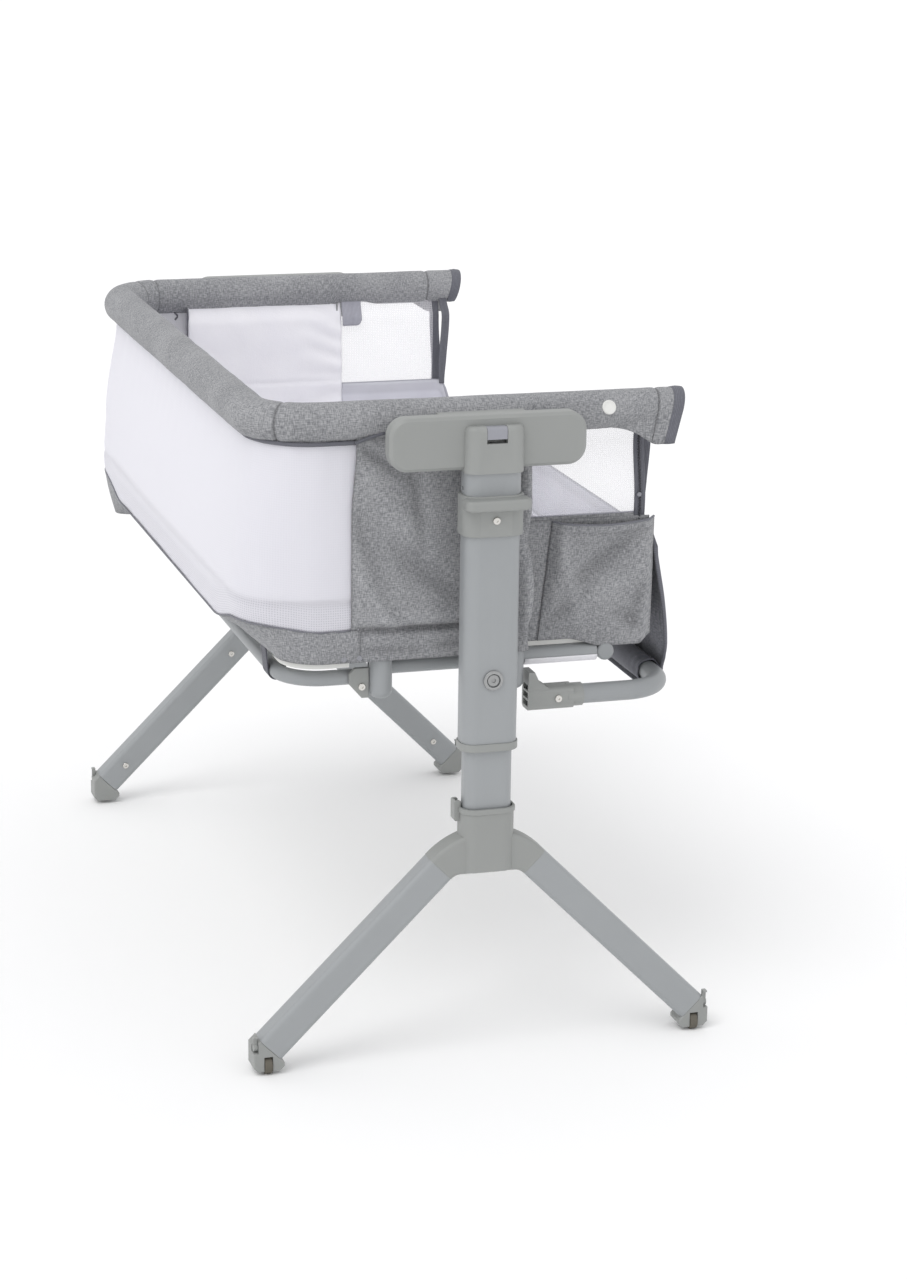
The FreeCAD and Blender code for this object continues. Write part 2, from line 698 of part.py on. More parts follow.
def right_frame_tube():
    """A capped tube under the open edge, with a small vent hole below."""
    end = cross_tube_y + cross_tube_radius
    tube = rod(cross_tube_radius, (side_tube_x, -end, frame_z), (side_tube_x, end, frame_z))
    tube = tube.makeFillet(side_tube_round, edges_at(tube, 1, -end) + edges_at(tube, 1, end))
    inner = end - side_tube_round - tube_wall
    bore = rod(cross_tube_radius - tube_wall, (side_tube_x, -inner, frame_z), (side_tube_x, inner, frame_z))
    vent = rod(vent_radius, (side_tube_x, 0, frame_z - cross_tube_radius - 1), (side_tube_x, 0, frame_z))
    return tube.cut([bore, vent]).removeSplitter()


def bent_rail(points, bend, radius):
    """A tube through points in one level plane, with a bend of one radius at each corner."""
    runs = []
    start = points[0]
    for corner, after in zip(points[1:-1], points[2:]):
        before = (start - corner).normalize()
        ahead = (after - corner).normalize()
        enter = corner + before * bend
        leave = corner + ahead * bend
        inward = (before + ahead).normalize()
        middle = corner + inward * bend * (math.sqrt(2) - 1)
        runs.append(Part.makeLine(start, enter))
        runs.append(Part.Arc(enter, middle, leave).toShape())
        start = leave
    runs.append(Part.makeLine(start, points[-1]))
    path = Part.Wire(runs)
    along = points[1] - points[0]
    outside, inside = [
        path.makePipeShell([Part.Wire([Part.makeCircle(size, points[0], along)])], True, False)
        for size in (radius, radius - tube_wall)]
    return outside.cut(inside)


def left_frame_tube():
    x0 = upright_left_x - fitting_radius
    corners = [(x0, -1), (corner_tube_x, -1), (corner_tube_x, 1), (x0, 1)]
    points = [Vector(x, sign * corner_tube_y, corner_tube_z) for x, sign in corners]
    return bent_rail(points, corner_tube_bend, corner_tube_radius)


def clamp_face_y():
    return -corner_tube_y - corner_tube_radius - 0.4


def frame_clamp():
    y = clamp_face_y()
    x1 = upright_left_x - fitting_radius - 0.5
    x0 = x1 - clamp_length
    z0 = clamp_top_z - clamp_height
    outline = [(x0, clamp_top_z - 6), (x0 + 6, clamp_top_z), (x1, clamp_top_z), (x1, z0),
               (x1 - 8, z0), (x0, z0 + 16)]
    plate = outline_prism(outline, y - clamp_thickness, y)
    return plate.makeFillet(1.2, edges_at(plate, 1, y - clamp_thickness))


def clamp_screw():
    x = upright_left_x - fitting_radius - 8.5
    return screw(x, clamp_face_y() - clamp_thickness - screw_seat, clamp_screw_z, stub, -1)


# Board, mattress and fabric -------------------------------------------------

def corner_edges(shape, x):
    return [edge for edge in edges_along(shape, Vector(0, 0, 1))
            if abs(edge.Vertexes[0].Point.x - x) < 0.001]


def rounded_slab(x0, x1, half_y, left_bend, right_bend, z0, z1):
    slab = block(x0, x1, -half_y, half_y, z0, z1)
    if left_bend > 0:
        slab = slab.makeFillet(left_bend, corner_edges(slab, x0))
    if right_bend > 0:
        slab = slab.makeFillet(right_bend, corner_edges(slab, x1))
    return slab


def bed_shape(clearance, z0, z1):
    """The plan of the lying area: full width by the closed side, inboard by the uprights."""
    inset = fabric + clearance
    main = rounded_slab(side_x + 100, open_side_x - inset, wall_y - inset, 0,
                        open_side_bend - fabric, z0, z1)
    wide = rounded_slab(side_x + side_tuck + inset, panel_left_x - clearance,
                        panel_y - fabric - inset, tuck_bend - inset, 0, z0, z1)
    return main.fuse(wide).removeSplitter()


def mattress_board():
    z0 = frame_z + cross_tube_radius + board_gap
    return bed_shape(2.0, z0, z0 + board_thickness)


def mattress():
    z0 = frame_z + cross_tube_radius + board_gap + board_thickness + mattress_gap
    z1 = z0 + mattress_thickness
    pad = bed_shape(2.5, z0, z1)
    return pad.makeFillet(mattress_round, edges_at(pad, 2, z1))


def closed_side_mesh():
    z0 = band_top_z + seat_gap
    half_y = panel_y - fabric
    outside = rounded_slab(side_x, 0, half_y, side_bend, 0, z0, mesh_top_z)
    inside = rounded_slab(side_x + fabric, 10, half_y - fabric, side_bend - fabric, 0,
                          z0 - 1, mesh_top_z + 1)
    keep = block(side_x - 1, panel_left_x, -half_y - 1, half_y + 1, z0, mesh_top_z)
    return outside.cut(inside).common(keep).Solids[0]


def level_outline(x0, half_y, bend, z):
    """A U open towards +X, closed by a straight line at x = 0."""
    slab = rounded_slab(x0, 0, half_y, bend, 0, z, z + 1)
    return [face.OuterWire for face in slab.Faces
            if all(abs(vertex.Point.z - z) < 0.001 for vertex in face.Vertexes)][0]


def bottom_band():
    """The fabric under the mesh, upright at the ends and sloping in under the closed side."""
    walls = []
    for inset in (1.0, 1.0 + fabric):
        low = level_outline(side_x + side_tuck + inset, panel_y - fabric - inset,
                            tuck_bend - inset, fabric_bottom_z)
        high = level_outline(side_x + inset, panel_y - fabric - inset, side_bend - inset, band_top_z)
        walls.append(Part.makeLoft([low, high], True, True))
    keep = block(side_x, panel_left_x, -panel_y, panel_y, fabric_bottom_z, band_top_z)
    return walls[0].cut(walls[1]).common(keep).Solids[0]


def low_wall():
    """The low fabric wall: the barrier along the bedside and the lower end walls."""
    outside = rounded_slab(0, open_side_x, wall_y, 0, open_side_bend, fabric_bottom_z, low_end_top_z)
    inside = rounded_slab(-10, open_side_x - fabric, wall_y - fabric, 0, open_side_bend - fabric,
                          fabric_bottom_z - 1, low_end_top_z + 1)
    dip = block(open_side_x - open_side_bend, open_side_x + 1, -wall_y + open_side_bend,
                wall_y - open_side_bend, low_side_top_z, low_end_top_z + 1)
    keep = block(window_start_x, open_side_x + 1, -wall_y - 1, wall_y + 1,
                 fabric_bottom_z, low_end_top_z)
    return outside.cut([inside, dip]).common(keep).Solids[0]


def end_panel():
    inner_offset = panel_y - fabric - rim_y
    top_z = rim_z - math.sqrt(rim_roll_radius ** 2 - inner_offset ** 2) - 0.9
    face = block(panel_left_x, panel_right_x, -panel_y, -panel_y + fabric, fabric_bottom_z, top_z)
    side = block(panel_right_x - fabric, panel_right_x, -panel_y, -wall_y - 0.5,
                 fabric_bottom_z, under_rim_z)
    return face.fuse(side).removeSplitter()


def end_lining():
    z0 = fabric_bottom_z + 0.5
    face = block(panel_left_x, window_start_x - seat_gap, -wall_y, -wall_y + fabric, z0, wall_top_z)
    side = block(panel_left_x, panel_left_x + fabric, -panel_y + 2 * fabric, -wall_y, z0, under_rim_z)
    return face.fuse(side).removeSplitter()


def mesh_window():
    return block(window_start_x, window_end_x, -wall_y, -wall_y + fabric,
                 low_end_top_z + seat_gap, wall_top_z)


def zip_tape():
    x0 = window_end_x + 0.2
    return block(x0, x0 + tape_width, -wall_y, -wall_y + fabric,
                 low_end_top_z + seat_gap, wall_top_z - tape_drop)


def pocket():
    y0 = -pocket_outer_y
    y1 = -wall_y - 0.4
    outside = block(pocket_left_x, pocket_right_x, y0, y1, fabric_bottom_z, pocket_top_z)
    inside = block(pocket_left_x + fabric, pocket_right_x - fabric, y0 + fabric, y1 + 1,
                   fabric_bottom_z + fabric, pocket_top_z + 1)
    return outside.cut(inside)


def drop_panel():
    """The fabric that hangs from the barrier's edge round the outside of the lowered rail."""
    top_x = open_side_x + 0.4
    top_z = low_side_top_z - 1
    low_x = rail_x + sleeve_radius + 0.4
    bend_z = rail_z + 2 * rail_radius
    low_z = rail_z - 12
    outline = [(top_x, top_z), (top_x + fabric, top_z), (low_x + fabric, bend_z),
               (low_x + fabric, low_z), (low_x, low_z), (low_x, bend_z)]
    return outline_prism(outline, -sleeve_half_length, sleeve_half_length)


# Drop rail ------------------------------------------------------------------

def drop_rail_tube():
    corners = [(rail_start_x, -1), (rail_x, -1), (rail_x, 1), (rail_start_x, 1)]
    points = [Vector(x, sign * rim_y, rail_z) for x, sign in corners]
    return bent_rail(points, rail_bend, rail_radius)


def rail_end_fitting():
    """An L-shaped moulding: a socket for the rail and a horn that hooks up under the head."""
    half = rail_fitting_half
    body = block(rail_fitting_x, rail_start_x + 6, -rim_y - half, -rim_y + half,
                 rail_z - half, rail_z + half)
    body = body.makeFillet(rail_fitting_round, edges_along(body, Vector(1, 0, 0)))
    collar = rod(rail_radius + rail_collar_wall, (rail_start_x, -rim_y, rail_z),
                 (rail_fitting_end_x, -rim_y, rail_z))
    horn = outline_prism([(rail_fitting_x, rail_z), (rail_fitting_x, rail_horn_top_z),
                          (rail_fitting_x + 7, rail_horn_top_z), (rail_fitting_x + 12, rail_z + 20),
                          (rail_fitting_x + 24, rail_z + half - 1), (rail_fitting_x + 24, rail_z)],
                         -rim_y - half + 1, -rim_y + half - 1)
    body = body.fuse([collar, horn])
    body = body.cut(rod(rail_radius + seat_gap, (rail_start_x - 0.2, -rim_y, rail_z),
                        (rail_fitting_end_x + 1, -rim_y, rail_z)))
    slots = []
    for step in range(slot_count):
        z0 = rail_z - 8.5 + step * slot_pitch
        slots.append(block(rail_fitting_x - 1, rail_fitting_x + slot_depth,
                           -rim_y - slot_half_width, -rim_y + slot_half_width, z0, z0 + slot_height))
    return body.cut(slots).removeSplitter()


def rail_sleeve():
    start = (rail_x, -sleeve_half_length, rail_z)
    end = (rail_x, sleeve_half_length, rail_z)
    return pipe(sleeve_radius, sleeve_radius - rail_radius - cover_gap, start, end)


def rail_screw():
    y = -rim_y - rail_fitting_half - screw_seat
    return screw(rail_start_x - rail_screw_inset, y, rail_z, stub, -1)


# Output ---------------------------------------------------------------------

def save_ends(name, solids):
    save("near_" + name, solids)
    save("far_" + name, [mirror_y(solid) for solid in solids])


save_ends("hub", [hub()])
save_ends("lower_tube", [lower_tube()])
for side, word in ((-1, "left"), (1, "right")):
    save_ends(word + "_leg", [leg_tube(side)])
    save_ends(word + "_foot", [foot_cap(side)])
    save_ends(word + "_wheel", [wheel(side)])
    save_ends(word + "_brake_lever", [brake_lever(side)])
save("leg_screws", both_ends(leg_screws()))

save_ends("outer_tube", [outer_tube()])
save("guide_rings", both_ends([guide_ring()]))
save("post_bolts", both_ends(post_bolt()))
save_ends("release_collar", [release_collar()])
save_ends("latch_slider", latch_slider())
save_ends("head_bracket", [head_bracket()])
save_ends("head_button", [head_button()])

save("rim_tubes", rim_tubes())
save_ends("rim_cover", [end_rim_cover()])
save("rim_sleeves", both_ends([rim_sleeve()]))
save("side_rim_cover", [side_rim_cover()])
save("uprights", both_ends(upright(upright_left_x) + upright(upright_right_x)))
save("cross_tubes", both_ends([cross_tube()]))
save("right_frame_tube", [right_frame_tube()])
save("left_frame_tube", [left_frame_tube()])
save("frame_clamps", both_ends([frame_clamp()]))
save("clamp_screws", both_ends([clamp_screw()]))

save("mattress_board", [mattress_board()])
save("mattress", [mattress()])
save("closed_side_mesh", [closed_side_mesh()])
save("bottom_band", [bottom_band()])
save("low_wall", [low_wall()])
save_ends("end_panel", [end_panel()])
save("end_linings", both_ends([end_lining()]))
save("mesh_windows", both_ends([mesh_window()]))
save("zip_tapes", both_ends([zip_tape()]))
save("pocket", [pocket()])
save("drop_panel", [drop_panel()])

save("drop_rail_tube", [drop_rail_tube()])
save("rail_end_fittings", both_ends([rail_end_fitting()]))
save("rail_sleeve", [rail_sleeve()])
save("rail_screws", both_ends([rail_screw()]))
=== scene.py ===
# Bedside bassinet: cloth, padding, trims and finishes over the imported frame.
import bpy
from functools import partial
from math import atan2, cos, exp, hypot, pi, radians, sin, sqrt, tau
from mathutils import Matrix, Vector, noise


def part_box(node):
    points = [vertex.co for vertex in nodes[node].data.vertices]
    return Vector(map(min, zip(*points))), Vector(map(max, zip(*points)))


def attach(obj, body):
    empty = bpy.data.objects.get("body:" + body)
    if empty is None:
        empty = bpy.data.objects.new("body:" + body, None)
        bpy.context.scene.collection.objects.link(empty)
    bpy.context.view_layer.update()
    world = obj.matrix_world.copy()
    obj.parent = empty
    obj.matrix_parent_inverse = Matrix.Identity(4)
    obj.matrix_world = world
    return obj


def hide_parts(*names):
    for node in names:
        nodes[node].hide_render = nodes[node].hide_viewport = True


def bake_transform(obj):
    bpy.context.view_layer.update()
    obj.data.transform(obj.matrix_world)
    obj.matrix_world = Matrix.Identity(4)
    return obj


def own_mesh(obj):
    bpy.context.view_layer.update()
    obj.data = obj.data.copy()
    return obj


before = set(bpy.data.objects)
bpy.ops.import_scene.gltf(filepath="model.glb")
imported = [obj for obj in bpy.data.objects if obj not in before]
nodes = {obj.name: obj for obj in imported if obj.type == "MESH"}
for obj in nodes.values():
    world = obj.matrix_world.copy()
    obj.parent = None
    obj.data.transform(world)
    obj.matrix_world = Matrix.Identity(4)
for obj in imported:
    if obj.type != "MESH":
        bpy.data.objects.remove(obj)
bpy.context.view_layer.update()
scene = bpy.context.scene
print("frame loaded:", len(nodes), "nodes")


def smooth(a, b, x):
    t = min(1, max(0, (x - a) / (b - a)))
    return t * t * (3 - 2 * t)


def ridge(x, width):
    return exp(-(x / width) ** 2)


def waver(a, b, c):
    return noise.noise(Vector((a, b, c)))


def linear(hexColour):
    parts = [int(hexColour[i:i + 2], 16) / 255 for i in (1, 3, 5)]
    return [c / 12.92 if c <= 0.04045 else ((c + 0.055) / 1.055) ** 2.4 for c in parts] + [1]


def addNode(tree, kind, inputs=None, **settings):
    node = tree.nodes.new("ShaderNode" + kind)
    for name, value in settings.items():
        setattr(node, name, value)
    for key, value in (inputs or {}).items():
        if isinstance(value, bpy.types.NodeSocket):
            tree.links.new(value, node.inputs[key])
        else:
            node.inputs[key].default_value = value
    return node


bothEnds = (("near", 1), ("far", -1))


# finishes. Sheets carry a UV map in metres; the hard parts use object space, also metres.
def newFinish(name, **shader):
    material = bpy.data.materials.new(name)
    material.use_nodes = True
    tree = material.node_tree
    tree.nodes.clear()
    surface = addNode(tree, "BsdfPrincipled", shader)
    addNode(tree, "OutputMaterial", {"Surface": surface.outputs[0]})
    return material, tree, surface


def toneAndPaintedShade(tree, colour):
    # the sheet's tone attribute scales its colour: darker in seams and folds, a painted shade, lighter where
    # it stands proud, a painted highlight; a little of it varies at random
    tone = addNode(tree, "Attribute", attribute_name="tone")
    lift = addNode(tree, "Math", {0: tone.outputs["Fac"], 1: 1.0}, operation="ADD")
    return addNode(tree, "HueSaturation", {"Value": lift.outputs[0], "Color": colour})


def bumped(tree, surface, height, distance, strength=1.0):
    bump = addNode(tree, "Bump", {"Height": height, "Distance": distance,
                                  "Strength": strength})
    tree.links.new(bump.outputs[0], surface.inputs["Normal"])


def heatherPolyester(name, dark, middle, light):
    # woven melange polyester: two grey yarns streak along warp and weft, matt with a soft bloom
    # the threads are coarser than life, so that they show
    cloth = {"fleckWidth": 0.0010, "fleckLength": 0.0055, "threadPitch": 0.0014}
    material, tree, surface = newFinish(name, **{"Roughness": 0.9, "Sheen Weight": 0.12,
                                                 "Sheen Roughness": 0.5, "Specular IOR Level": 0.25})
    place = addNode(tree, "UVMap")
    long, wide = 1 / cloth["fleckLength"], 1 / cloth["fleckWidth"]
    streaks = []
    for scale in ((wide, long, 1), (long, wide, 1)):
        stretch = addNode(tree, "Mapping", {"Vector": place.outputs[0], "Scale": scale})
        streaks.append(addNode(tree, "TexNoise", {"Vector": stretch.outputs[0], "Scale": 1.0,
                                                  "Detail": 2.0}))
    both = addNode(tree, "Math", {0: streaks[0].outputs["Fac"], 1: streaks[1].outputs["Fac"]},
                   operation="ADD")
    clouds = addNode(tree, "TexNoise", {"Vector": place.outputs[0], "Scale": 14.0, "Detail": 2.0})
    cloudy = addNode(tree, "Math", {0: clouds.outputs["Fac"], 1: 0.35, 2: both.outputs[0]},
                     operation="MULTIPLY_ADD")
    level = addNode(tree, "MapRange", {"Value": cloudy.outputs[0], "From Min": 0.94,
                                       "From Max": 1.42})
    yarn = addNode(tree, "ValToRGB", {"Fac": level.outputs[0]})
    yarn.color_ramp.elements[0].color = linear(dark)
    yarn.color_ramp.elements[1].color = linear(light)
    yarn.color_ramp.elements.new(0.5).color = linear(middle)
    tree.links.new(toneAndPaintedShade(tree, yarn.outputs[0]).outputs[0], surface.inputs["Base Color"])
    waves = [addNode(tree, "TexWave", {"Vector": place.outputs[0], "Distortion": 0.6,
                                       "Scale": 0.314 / cloth["threadPitch"]},
                     bands_direction=way) for way in "XY"]
    weave = addNode(tree, "Math", {0: waves[0].outputs["Fac"], 1: waves[1].outputs["Fac"]},
                    operation="MULTIPLY")
    slub = addNode(tree, "Math", {0: both.outputs[0], 1: 1.4, 2: weave.outputs[0]},
                   operation="MULTIPLY_ADD")
    bumped(tree, surface, slub.outputs[0], 0.0004, 0.32)
    return material


def knittedMesh(name, colour, hole, pitch, openFrom, openTo, sheer):
    # warp-knitted polyester mesh: small round holes in rows, clear near its low edge and faint above;
    # cloudy white, a little see-through if sheer. The pitch is coarser than life.
    material, tree, surface = newFinish(name, **{"Roughness": 0.82, "Sheen Weight": 0.1,
                                                 "Specular IOR Level": 0.25})
    place = addNode(tree, "UVMap")
    cells = addNode(tree, "TexVoronoi", {"Vector": place.outputs[0], "Scale": 1 / pitch,
                                         "Randomness": 0.12}, voronoi_dimensions="2D")
    holes = addNode(tree, "MapRange", {"Value": cells.outputs["Distance"], "From Min": 0.2,
                                       "From Max": 0.42, "To Min": 1.0, "To Max": 0.0})
    height = addNode(tree, "SeparateXYZ", {0: place.outputs[0]})
    opening = addNode(tree, "MapRange", {"Value": height.outputs["Y"], "From Min": openFrom,
                                         "From Max": openTo, "To Min": 0.62, "To Max": 0.10})
    shown = addNode(tree, "Math", {0: holes.outputs[0], 1: opening.outputs[0]},
                    operation="MULTIPLY")
    knit = addNode(tree, "Mix", {0: shown.outputs[0], 6: linear(colour), 7: linear(hole)},
                   data_type="RGBA")
    tree.links.new(toneAndPaintedShade(tree, knit.outputs[2]).outputs[0], surface.inputs["Base Color"])
    bumped(tree, surface, cells.outputs["Distance"], 0.0002, 0.25)
    if sheer:
        thin = addNode(tree, "MapRange", {"Value": holes.outputs[0], "To Min": 0.5,
                                          "To Max": 0.28})
        tree.links.new(thin.outputs[0], surface.inputs["Alpha"])
    else:
        # light comes through from the far side, as it does through one layer of knit
        surface.inputs["Subsurface Weight"].default_value = 0.38
        surface.inputs["Subsurface Radius"].default_value = (1.0, 1.0, 1.0)
        surface.inputs["Subsurface Scale"].default_value = 0.012
    return material


def cottonLining(name, colour, shade):
    # brushed cotton-polyester lining: soft, near white, faintly mottled, with a fine thread
    cloth = {"threadPitch": 0.0014, "mottle": 0.05}
    material, tree, surface = newFinish(name, **{"Roughness": 0.88, "Sheen Weight": 0.15,
                                                 "Specular IOR Level": 0.25})
    place = addNode(tree, "TexCoord")
    mottle = addNode(tree, "TexNoise", {"Vector": place.outputs["Object"], "Detail": 3.0,
                                        "Scale": 1 / cloth["mottle"]})
    blend = addNode(tree, "Mix", {0: mottle.outputs["Fac"], 6: linear(colour), 7: linear(shade)},
                    data_type="RGBA")
    tree.links.new(toneAndPaintedShade(tree, blend.outputs[2]).outputs[0], surface.inputs["Base Color"])
    thread = addNode(tree, "TexNoise", {"Vector": place.outputs["Object"], "Detail": 1.0,
                                        "Scale": 1 / cloth["threadPitch"]})
    soft = addNode(tree, "Math", {0: mottle.outputs["Fac"], 1: 6.0, 2: thread.outputs["Fac"]},
                   operation="MULTIPLY_ADD")
    bumped(tree, surface, soft.outputs[0], 0.0004, 0.6)
    return material


def ribbedTape(name, dark, light):
    # woven polyester binding tape: charcoal ribs across the strip, dull, with pale rib tops that are partly
    # the yarn and partly a painted highlight, broken up at random
    tape = {"ribPitch": 0.0018}
    material, tree, surface = newFinish(name, **{"Roughness": 0.8, "Sheen Weight": 0.1})
    place = addNode(tree, "UVMap")
    ribs = addNode(tree, "TexWave", {"Vector": place.outputs[0], "Distortion": 0.3,
                                     "Scale": 0.314 / tape["ribPitch"]}, bands_direction="X")
    # noise that breaks up the pale rib tops at random
    ribTopBreakup = addNode(tree, "TexNoise", {"Vector": place.outputs[0], "Scale": 300.0})
    mixed = addNode(tree, "Math", {0: ribs.outputs["Fac"], 1: ribTopBreakup.outputs["Fac"]},
                    operation="MULTIPLY")
    colour = addNode(tree, "Mix", {0: mixed.outputs[0], 6: linear(dark), 7: linear(light)},
                     data_type="RGBA")
    tree.links.new(toneAndPaintedShade(tree, colour.outputs[2]).outputs[0], surface.inputs["Base Color"])
    bumped(tree, surface, ribs.outputs["Fac"], 0.0004, 0.6)
    return material


def grainedFinish(name, colour, mottleAndEdgeColour, grain, depth, mottle=0.06, **shader):
    # for paint, moulded plastic, plating and rubber: a fine surface grain, slightly uneven in tone and gloss;
    # convex edges take the second colour, a painted edge highlight where that colour is the lighter one
    material, tree, surface = newFinish(name, **shader)
    place = addNode(tree, "TexCoord")
    cloud = addNode(tree, "TexNoise", {"Vector": place.outputs["Object"], "Scale": 1 / mottle,
                                       "Detail": 4.0})
    edges = addNode(tree, "NewGeometry")
    # convex edges, found by pointiness, take the second colour: a painted highlight along the edges on all
    # but the white board, where that colour is darker
    paintedEdgeLighting = addNode(tree, "MapRange", {"Value": edges.outputs["Pointiness"], "From Min": 0.52,
                                        "From Max": 0.62, "To Min": 0.0, "To Max": 0.45})
    spread = addNode(tree, "Math", {0: cloud.outputs["Fac"], 1: 0.5, 2: paintedEdgeLighting.outputs[0]},
                     operation="MULTIPLY_ADD")
    tint = addNode(tree, "Mix", {0: spread.outputs[0], 6: linear(colour), 7: linear(mottleAndEdgeColour)},
                   data_type="RGBA")
    tree.links.new(tint.outputs[2], surface.inputs["Base Color"])
    speck = addNode(tree, "TexNoise", {"Vector": place.outputs["Object"], "Scale": 1 / grain,
                                       "Detail": 2.0})
    gloss = addNode(tree, "MapRange", {"Value": cloud.outputs["Fac"],
                                       "To Min": shader["Roughness"] - 0.05,
                                       "To Max": shader["Roughness"] + 0.06})
    tree.links.new(gloss.outputs[0], surface.inputs["Roughness"])
    bumped(tree, surface, speck.outputs["Fac"], depth, 0.5)
    return material


heatherGrey = heatherPolyester("heatherPolyesterGrey", "#75767A", "#929395", "#ABABAE")
heatherDark = heatherPolyester("heatherPolyesterShade", "#63646A", "#787980", "#909198")
whiteKnit = knittedMesh("whiteKnittedMesh", "#E0DFE7", "#BDBCC6", 0.0026, 0.026, 0.034, False)
sheerKnit = knittedMesh("sheerKnittedMesh", "#EDECF1", "#D9D8E0", 0.0024, 5.0, 6.0, True)
paleLining = cottonLining("brushedLiningWhite", "#F5F4F7", "#ECEBF1")
greyLining = cottonLining("brushedLiningLilac", "#DBDBE2", "#D0D0D9")
charcoalTape = ribbedTape("wovenTapeCharcoal", "#5C5D65", "#83848C")
lilacTape = ribbedTape("wovenTapeLilacGrey", "#9A9AA4", "#B8B8C1")
zipCoil = ribbedTape("nylonZipCoil", "#3E3F45", "#6B6C73")
# in each finish below the second colour is the mottle and the convex-edge colour: lighter, a painted edge
# highlight, except on the white board, where it is darker
# polyester powder coat, satin, with a light orange peel that breaks up the highlights on the tubes
powderCoat = grainedFinish("powderCoatedSteelSatin", "#939698", "#9EA1A3", 0.0015, 0.00015,
                           **{"Roughness": 0.42, "IOR": 1.5, "Metallic": 0.1})
# ABS moulded against a spark-eroded tool: even, half matt, slightly warmer than the paint
mouldedAbs = grainedFinish("mouldedAbsGrey", "#8F918F", "#9B9D9B", 0.0007, 0.00012,
                           **{"Roughness": 0.5, "IOR": 1.53})
buttonAbs = grainedFinish("mouldedAbsButton", "#8B8C91", "#9798A0", 0.0007, 0.0001,
                          **{"Roughness": 0.46, "IOR": 1.53})
# bright nickel plate, rolled thread and pressed head
nickelPlate = grainedFinish("nickelPlatedSteel", "#CFCDC8", "#E2E0DC", 0.0008, 0.00005,
                            **{"Roughness": 0.24, "Metallic": 1.0})
# zinc-plated bolt in its ring, dull and greyer than the screws
zincBolt = grainedFinish("zincPlatedSteelDull", "#9A9B9B", "#AFB0B0", 0.0008, 0.00008,
                         **{"Roughness": 0.42, "Metallic": 0.75})
# thermoplastic rubber tread, dusty brown-grey and quite matt
wheelRubber = grainedFinish("treadRubberDusty", "#5B574E", "#716C61", 0.0009, 0.0002,
                            **{"Roughness": 0.78, "IOR": 1.52})
# extruded polypropylene board, white with a fine leathery grain
whiteBoard = grainedFinish("extrudedBoardWhite", "#E6E6E3", "#D9D9D6", 0.0012, 0.0002,
                           **{"Roughness": 0.6, "IOR": 1.49})

hardFinishes = {
    powderCoat: ("lower_tube", "outer_tube", "leg", "uprights", "rim_tubes", "cross_tubes",
                 "right_frame_tube", "left_frame_tube", "drop_rail_tube"),
    mouldedAbs: ("hub", "foot", "lever", "guide_rings", "collar", "bracket", "clamps", "fittings"),
    buttonAbs: ("head_button",),
    nickelPlate: ("screws", "slider"),
    zincBolt: ("bolts",),
    wheelRubber: ("wheel",),
    whiteBoard: ("mattress_board",),
}
for name, node in nodes.items():
    for finish, endings in hardFinishes.items():
        if name.endswith(endings):
            for holder in node.material_slots:
                holder.material = finish
print("finishes made")


# making pieces
def addPiece(name, points, faces, spots, tones, material, body):
    mesh = bpy.data.meshes.new(name)
    mesh.from_pydata(points, [], faces)
    mesh.shade_smooth()
    uvMap = mesh.uv_layers.new(name="UVMap")
    for corner in mesh.loops:
        uvMap.data[corner.index].uv = spots[corner.vertex_index]
    mesh.attributes.new("tone", "FLOAT", "POINT").data.foreach_set("value", tones)
    mesh.materials.append(material)
    piece = bpy.data.objects.new(name, mesh)
    scene.collection.objects.link(piece)
    if body:
        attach(piece, body)
    return piece


def makeSheet(name, place, columns, rows, width, height, material, thickness, body="bassinet"):
    # place(u, v) gives x, y, z and tone; columns may be a list of its own u values
    us = columns if isinstance(columns, list) else [i / columns for i in range(columns + 1)]
    points, tones, spots = [], [], []
    for j in range(rows + 1):
        for u in us:
            x, y, z, tone = place(u, j / rows)
            points.append((x, y, z))
            tones.append(tone)
            spots.append((u * width, j / rows * height))
    count = len(us)
    faces = [(j * count + i, j * count + i + 1, (j + 1) * count + i + 1, (j + 1) * count + i)
             for j in range(rows) for i in range(count - 1)]
    piece = addPiece(name, points, faces, spots, tones, material, body)
    if thickness:
        shell = piece.modifiers.new("thickness", "SOLIDIFY")
        shell.thickness = thickness
        shell.offset = 0
    return piece


def makeLoft(name, rings, material, closed=True, body="bassinet", metres=0.01):
    # rings of points, joined in order; the ends are closed over
    count = len(rings[0])
    points = [p for ring in rings for p in ring]
    span = count if closed else count - 1
    faces = [(j * count + i, j * count + (i + 1) % count, (j + 1) * count + (i + 1) % count,
              (j + 1) * count + i) for j in range(len(rings) - 1) for i in range(span)]
    if closed:
        faces += [tuple(reversed(range(count))), tuple(range(len(points) - count, len(points)))]
    spots = [(i // count * metres, i % count * metres) for i in range(len(points))]
    return addPiece(name, points, faces, spots, [0.0] * len(points), material, body)


def makePiping(name, path, radius, material, body="bassinet", sides=8, flat=1.0):
    # a bead of trim along a list of points
    rings = []
    for i, point in enumerate(path):
        ahead = Vector(path[min(i + 1, len(path) - 1)]) - Vector(path[max(i - 1, 0)])
        ahead.normalize()
        across = ahead.cross(Vector((0, 0, 1)))
        if across.length < 0.1:
            across = ahead.cross(Vector((0, 1, 0)))
        across.normalize()
        up = across.cross(ahead)
        rings.append([Vector(point) + radius * (cos(k * tau / sides) * flat * across
                                                + sin(k * tau / sides) * up)
                      for k in range(sides)])
    return makeLoft(name, rings, material, body=body)


def makeButton(name, centre, facing, rings, material, body="bassinet", sides=28):
    # a small turned shape: rings are (radius, height) from the rim to the middle
    facing = Vector(facing).normalized()
    across = facing.orthogonal().normalized()
    up = facing.cross(across)
    loops = [[Vector(centre) + facing * h + r * (cos(k * tau / sides) * across
                                                 + sin(k * tau / sides) * up)
              for k in range(sides)] for r, h in rings]
    return makeLoft(name, loops, material, body=body, metres=0.002)


